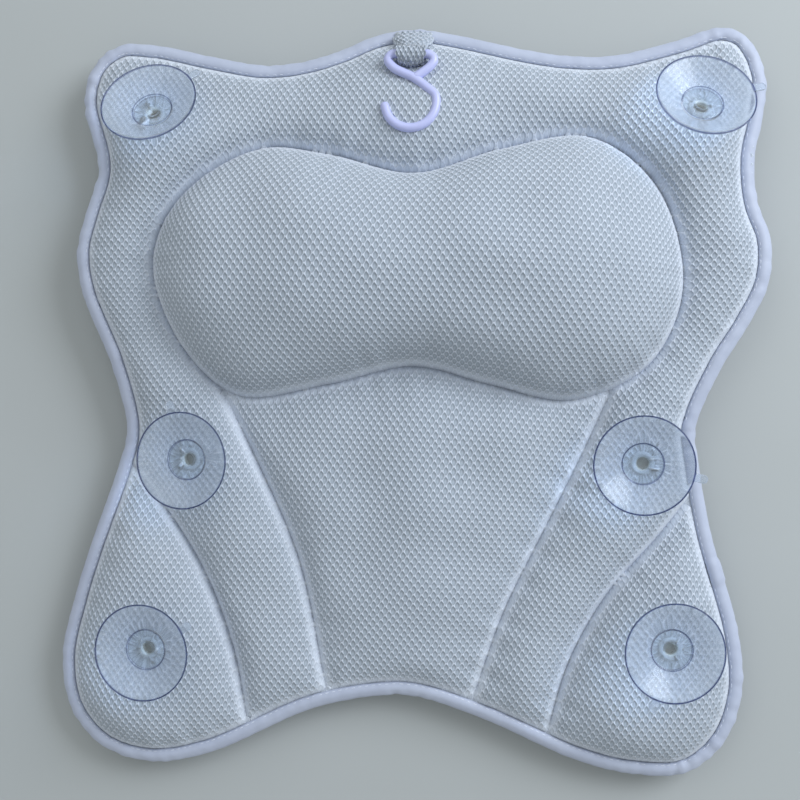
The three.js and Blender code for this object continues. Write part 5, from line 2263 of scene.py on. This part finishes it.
@dataclass
class SwingHook:
    """The S-hook, extruded along its wire's path.

    The shares are of the eye's half width and depth, of the bowl's radius and drop, and of the
    wire's radius at a rounded end. The CAD node's wire has node_sides sides.
    """

    wire: float = 4.7
    eye_half: float = 12.0
    eye_depth: float = 12.0
    bowl_radius: float = 13.3
    bowl_drop: float = 26.0
    bowl_offset: float = 0.9
    bowl_arc: Pair = (-18.0, 172.0)
    bowl_points: int = 8
    sides: int = 20
    step: float = 1.3
    node_sides: int = 8
    end_shares: tuple[float, ...] = (0.2, 0.5, 0.75, 0.93)
    end_length: float = 0.9
    eye_shares: tuple = (
        (0.26, -1.02), (0.52, -0.83), (0.86, -0.54), (1.02, -0.22), (0.8, 0), (0.4, 0), (-0.4, 0),
        (-0.78, 0), (-0.97, -0.24), (-0.72, -0.6), (0.18, -1.05),
    )
    shank_shares: tuple = (0.62, -0.66)

    def path(self) -> Array:
        """Draws the wire's middle line, flat, with the wire in the loop along X through the origin.

        Returns:
            The line's places.
        """
        eye = [(x * self.eye_half, y * self.eye_depth) for x, y in self.eye_shares]
        shank = (self.shank_shares[0] * self.bowl_radius, self.shank_shares[1] * self.bowl_drop)
        bowl = [
            (self.bowl_offset + self.bowl_radius * math.cos(turn),
             -self.bowl_drop - self.bowl_radius * math.sin(turn))
            for turn in np.radians(np.linspace(*self.bowl_arc, self.bowl_points))
        ]
        return smooth_curve([*eye, shank, *bowl], False, self.step)

    def build(self, material: bpy.types.Material) -> Piece:
        """Extrudes a circle along the path, rounds both ends and lays the hook on the pillow.

        Args:
            material: the hook's finish.

        Returns:
            The hook.
        """
        line = self.path()
        along = np.gradient(line, axis=0)
        turns = np.unwrap(np.arctan2(along[:, 1], along[:, 0]))
        along /= np.linalg.norm(along, axis=1, keepdims=True)
        half = self.wire / 2
        ends = []
        for end, way in ((0, -1), (-1, 1)):
            for share in self.end_shares:
                place = line[end] + way * half * math.sqrt(1 - share**2) * self.end_length * along[end]
                ends.append(Station((*place, 0), half * share, turns[end]))
        middle = [Station((*place, 0), half, turn) for place, turn in zip(line, turns)]
        count = len(self.end_shares)
        stations = ends[:count] + middle + ends[:count - 1:-1]
        piece = extruded("lavender_s_hook", stations, self.sides, upright=True)
        piece.data.transform(self._laid())
        piece.data.shade_smooth()
        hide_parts("s_hook")
        return dress(piece, material, Body.HOOK.value)

    def _laid(self) -> Matrix:
        """Works out where the hook lies.

        Returns:
            Its matrix: at its joint, tilted as the CAD node is.
        """
        place = Vector(frame_joint(Body.HOOK.value)["pos_m"])
        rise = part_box("s_hook")[1].z - place.z - self.wire / 2 * math.cos(math.pi / self.node_sides) * MM
        tilt = math.asin(rise / ((self.bowl_drop + self.bowl_radius) * MM))
        return Matrix.Translation(place) @ Matrix.Rotation(-tilt, 4, "X")


@dataclass(frozen=True)
class Lamp:
    """A square area lamp: its place and aim in metres, its size, power and colour."""

    name: str
    place: tuple[float, float, float]
    target: tuple[float, float, float]
    size: float
    power: float
    colour: tuple[float, float, float]

    def hang(self) -> None:
        """Hangs the lamp in the scene."""
        data = bpy.data.lights.new(self.name, "AREA")
        data.energy = self.power
        data.color = self.colour
        data.shape = "RECTANGLE"
        data.size = data.size_y = self.size
        lamp = new_piece(self.name, data)
        lamp.location = self.place
        aim = Vector(self.target) - Vector(self.place)
        lamp.rotation_euler = aim.to_track_quat("-Z", "Y").to_euler()


@dataclass
class Studio:
    """The floor, a wide window, a weak fill lamp, soft light from all round and the camera."""

    focal: float = 45.9
    sensor: float = 36.0
    camera_place: tuple[float, float, float] = (36.3, -9.2, 560.0)
    camera_turns: tuple[float, float, float] = (1.1, 4.3, 1.9)
    floor_size: float = 30.0
    sky: tuple = (0.96, 1.0, 0.985, 1)
    sky_strength: float = 0.53
    lamps: tuple[Lamp, ...] = (
        Lamp("window", (1.12, 0.7, 0.87), (0, 0, 0.02), 0.9, 21.0, (0.92, 0.965, 1.015)),
        Lamp("fill", (-0.5, 1.0, 1.1), (0, 0, 0), 1.2, 3.8, (0.95, 0.98, 1.0)),
    )

    def build(self) -> None:
        """Sets the whole studio up."""
        self._floor()
        for lamp in self.lamps:
            lamp.hang()
        self._world()
        self._camera()
        bpy.context.scene.view_settings.view_transform = "Standard"

    def _floor(self) -> None:
        """Lays a plain pale floor at the pillow's rest."""
        deselect_all()
        bpy.ops.mesh.primitive_plane_add(size=self.floor_size, location=(0, 0, 0))
        floor = bpy.context.object
        floor.name = "floor"
        floor.data.materials.append(FloorFinish().material())

    def _world(self) -> None:
        """Lights the scene softly from all round."""
        world = bpy.data.worlds.new("studio")
        bpy.context.scene.world = world
        world.use_nodes = True
        back = world.node_tree.nodes["Background"]
        back.inputs["Color"].default_value = self.sky
        back.inputs["Strength"].default_value = self.sky_strength

    def _camera(self) -> None:
        """Sets the photograph's view up, from above."""
        data = bpy.data.cameras.new("camera")
        data.lens = self.focal
        data.sensor_width = self.sensor
        camera = new_piece("camera", data)
        x, y, z = (math.radians(t) for t in self.camera_turns)
        turn = Matrix.Rotation(z, 4, "Z") @ Matrix.Rotation(y, 4, "Y") @ Matrix.Rotation(x, 4, "X")
        camera.matrix_world = Matrix.Translation(Vector(self.camera_place) * MM) @ turn
        bpy.context.scene.camera = camera


def main() -> None:
    """Builds the pillow and the studio, piece by piece."""
    logging.basicConfig(level=logging.INFO, format="%(asctime)s %(message)s")
    form = PillowForm(CuttingPattern())
    LOG.info("pillow form: %s grid places", form.labels.size)
    knit = KnitFinish().material()
    for face, node in ((Face.BACK, "back_cover"), (Face.FRONT, "front_cover")):
        cover = KnittedCover(form, face, node).build()
        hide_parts(node)
        dress(cover, knit, Body.PILLOW.value)
        LOG.info("%s: %s faces", cover.name, len(cover.data.polygons))
    for fill in FibreFills(form).build(FillFinish().material()):
        LOG.info("%s: %s faces", fill.name, len(fill.data.polygons))
    dress(HangingLoop().build(), knit, Body.PILLOW.value)
    LOG.info("hanging loop")
    binding = EdgeBinding(form)
    dress(binding.build(), TapeFinish().material(), Body.PILLOW.value)
    dress(binding.stitches(), ThreadFinish().material(), Body.PILLOW.value)
    LOG.info("binding")
    vinyl, thread = VinylFinish().material(), EyeletFinish().material()
    for maker, material in ((SuctionCup(), vinyl), (StitchedEyelet(), thread)):
        model = maker.model()
        for cup in CUPS:
            LOG.info("%s", maker.place(model, cup, material).name)
        bpy.data.objects.remove(model)
    LOG.info("%s", SwingHook().build(HookFinish().material()).name)
    Studio().build()


if __name__ == "__main__":
    main()
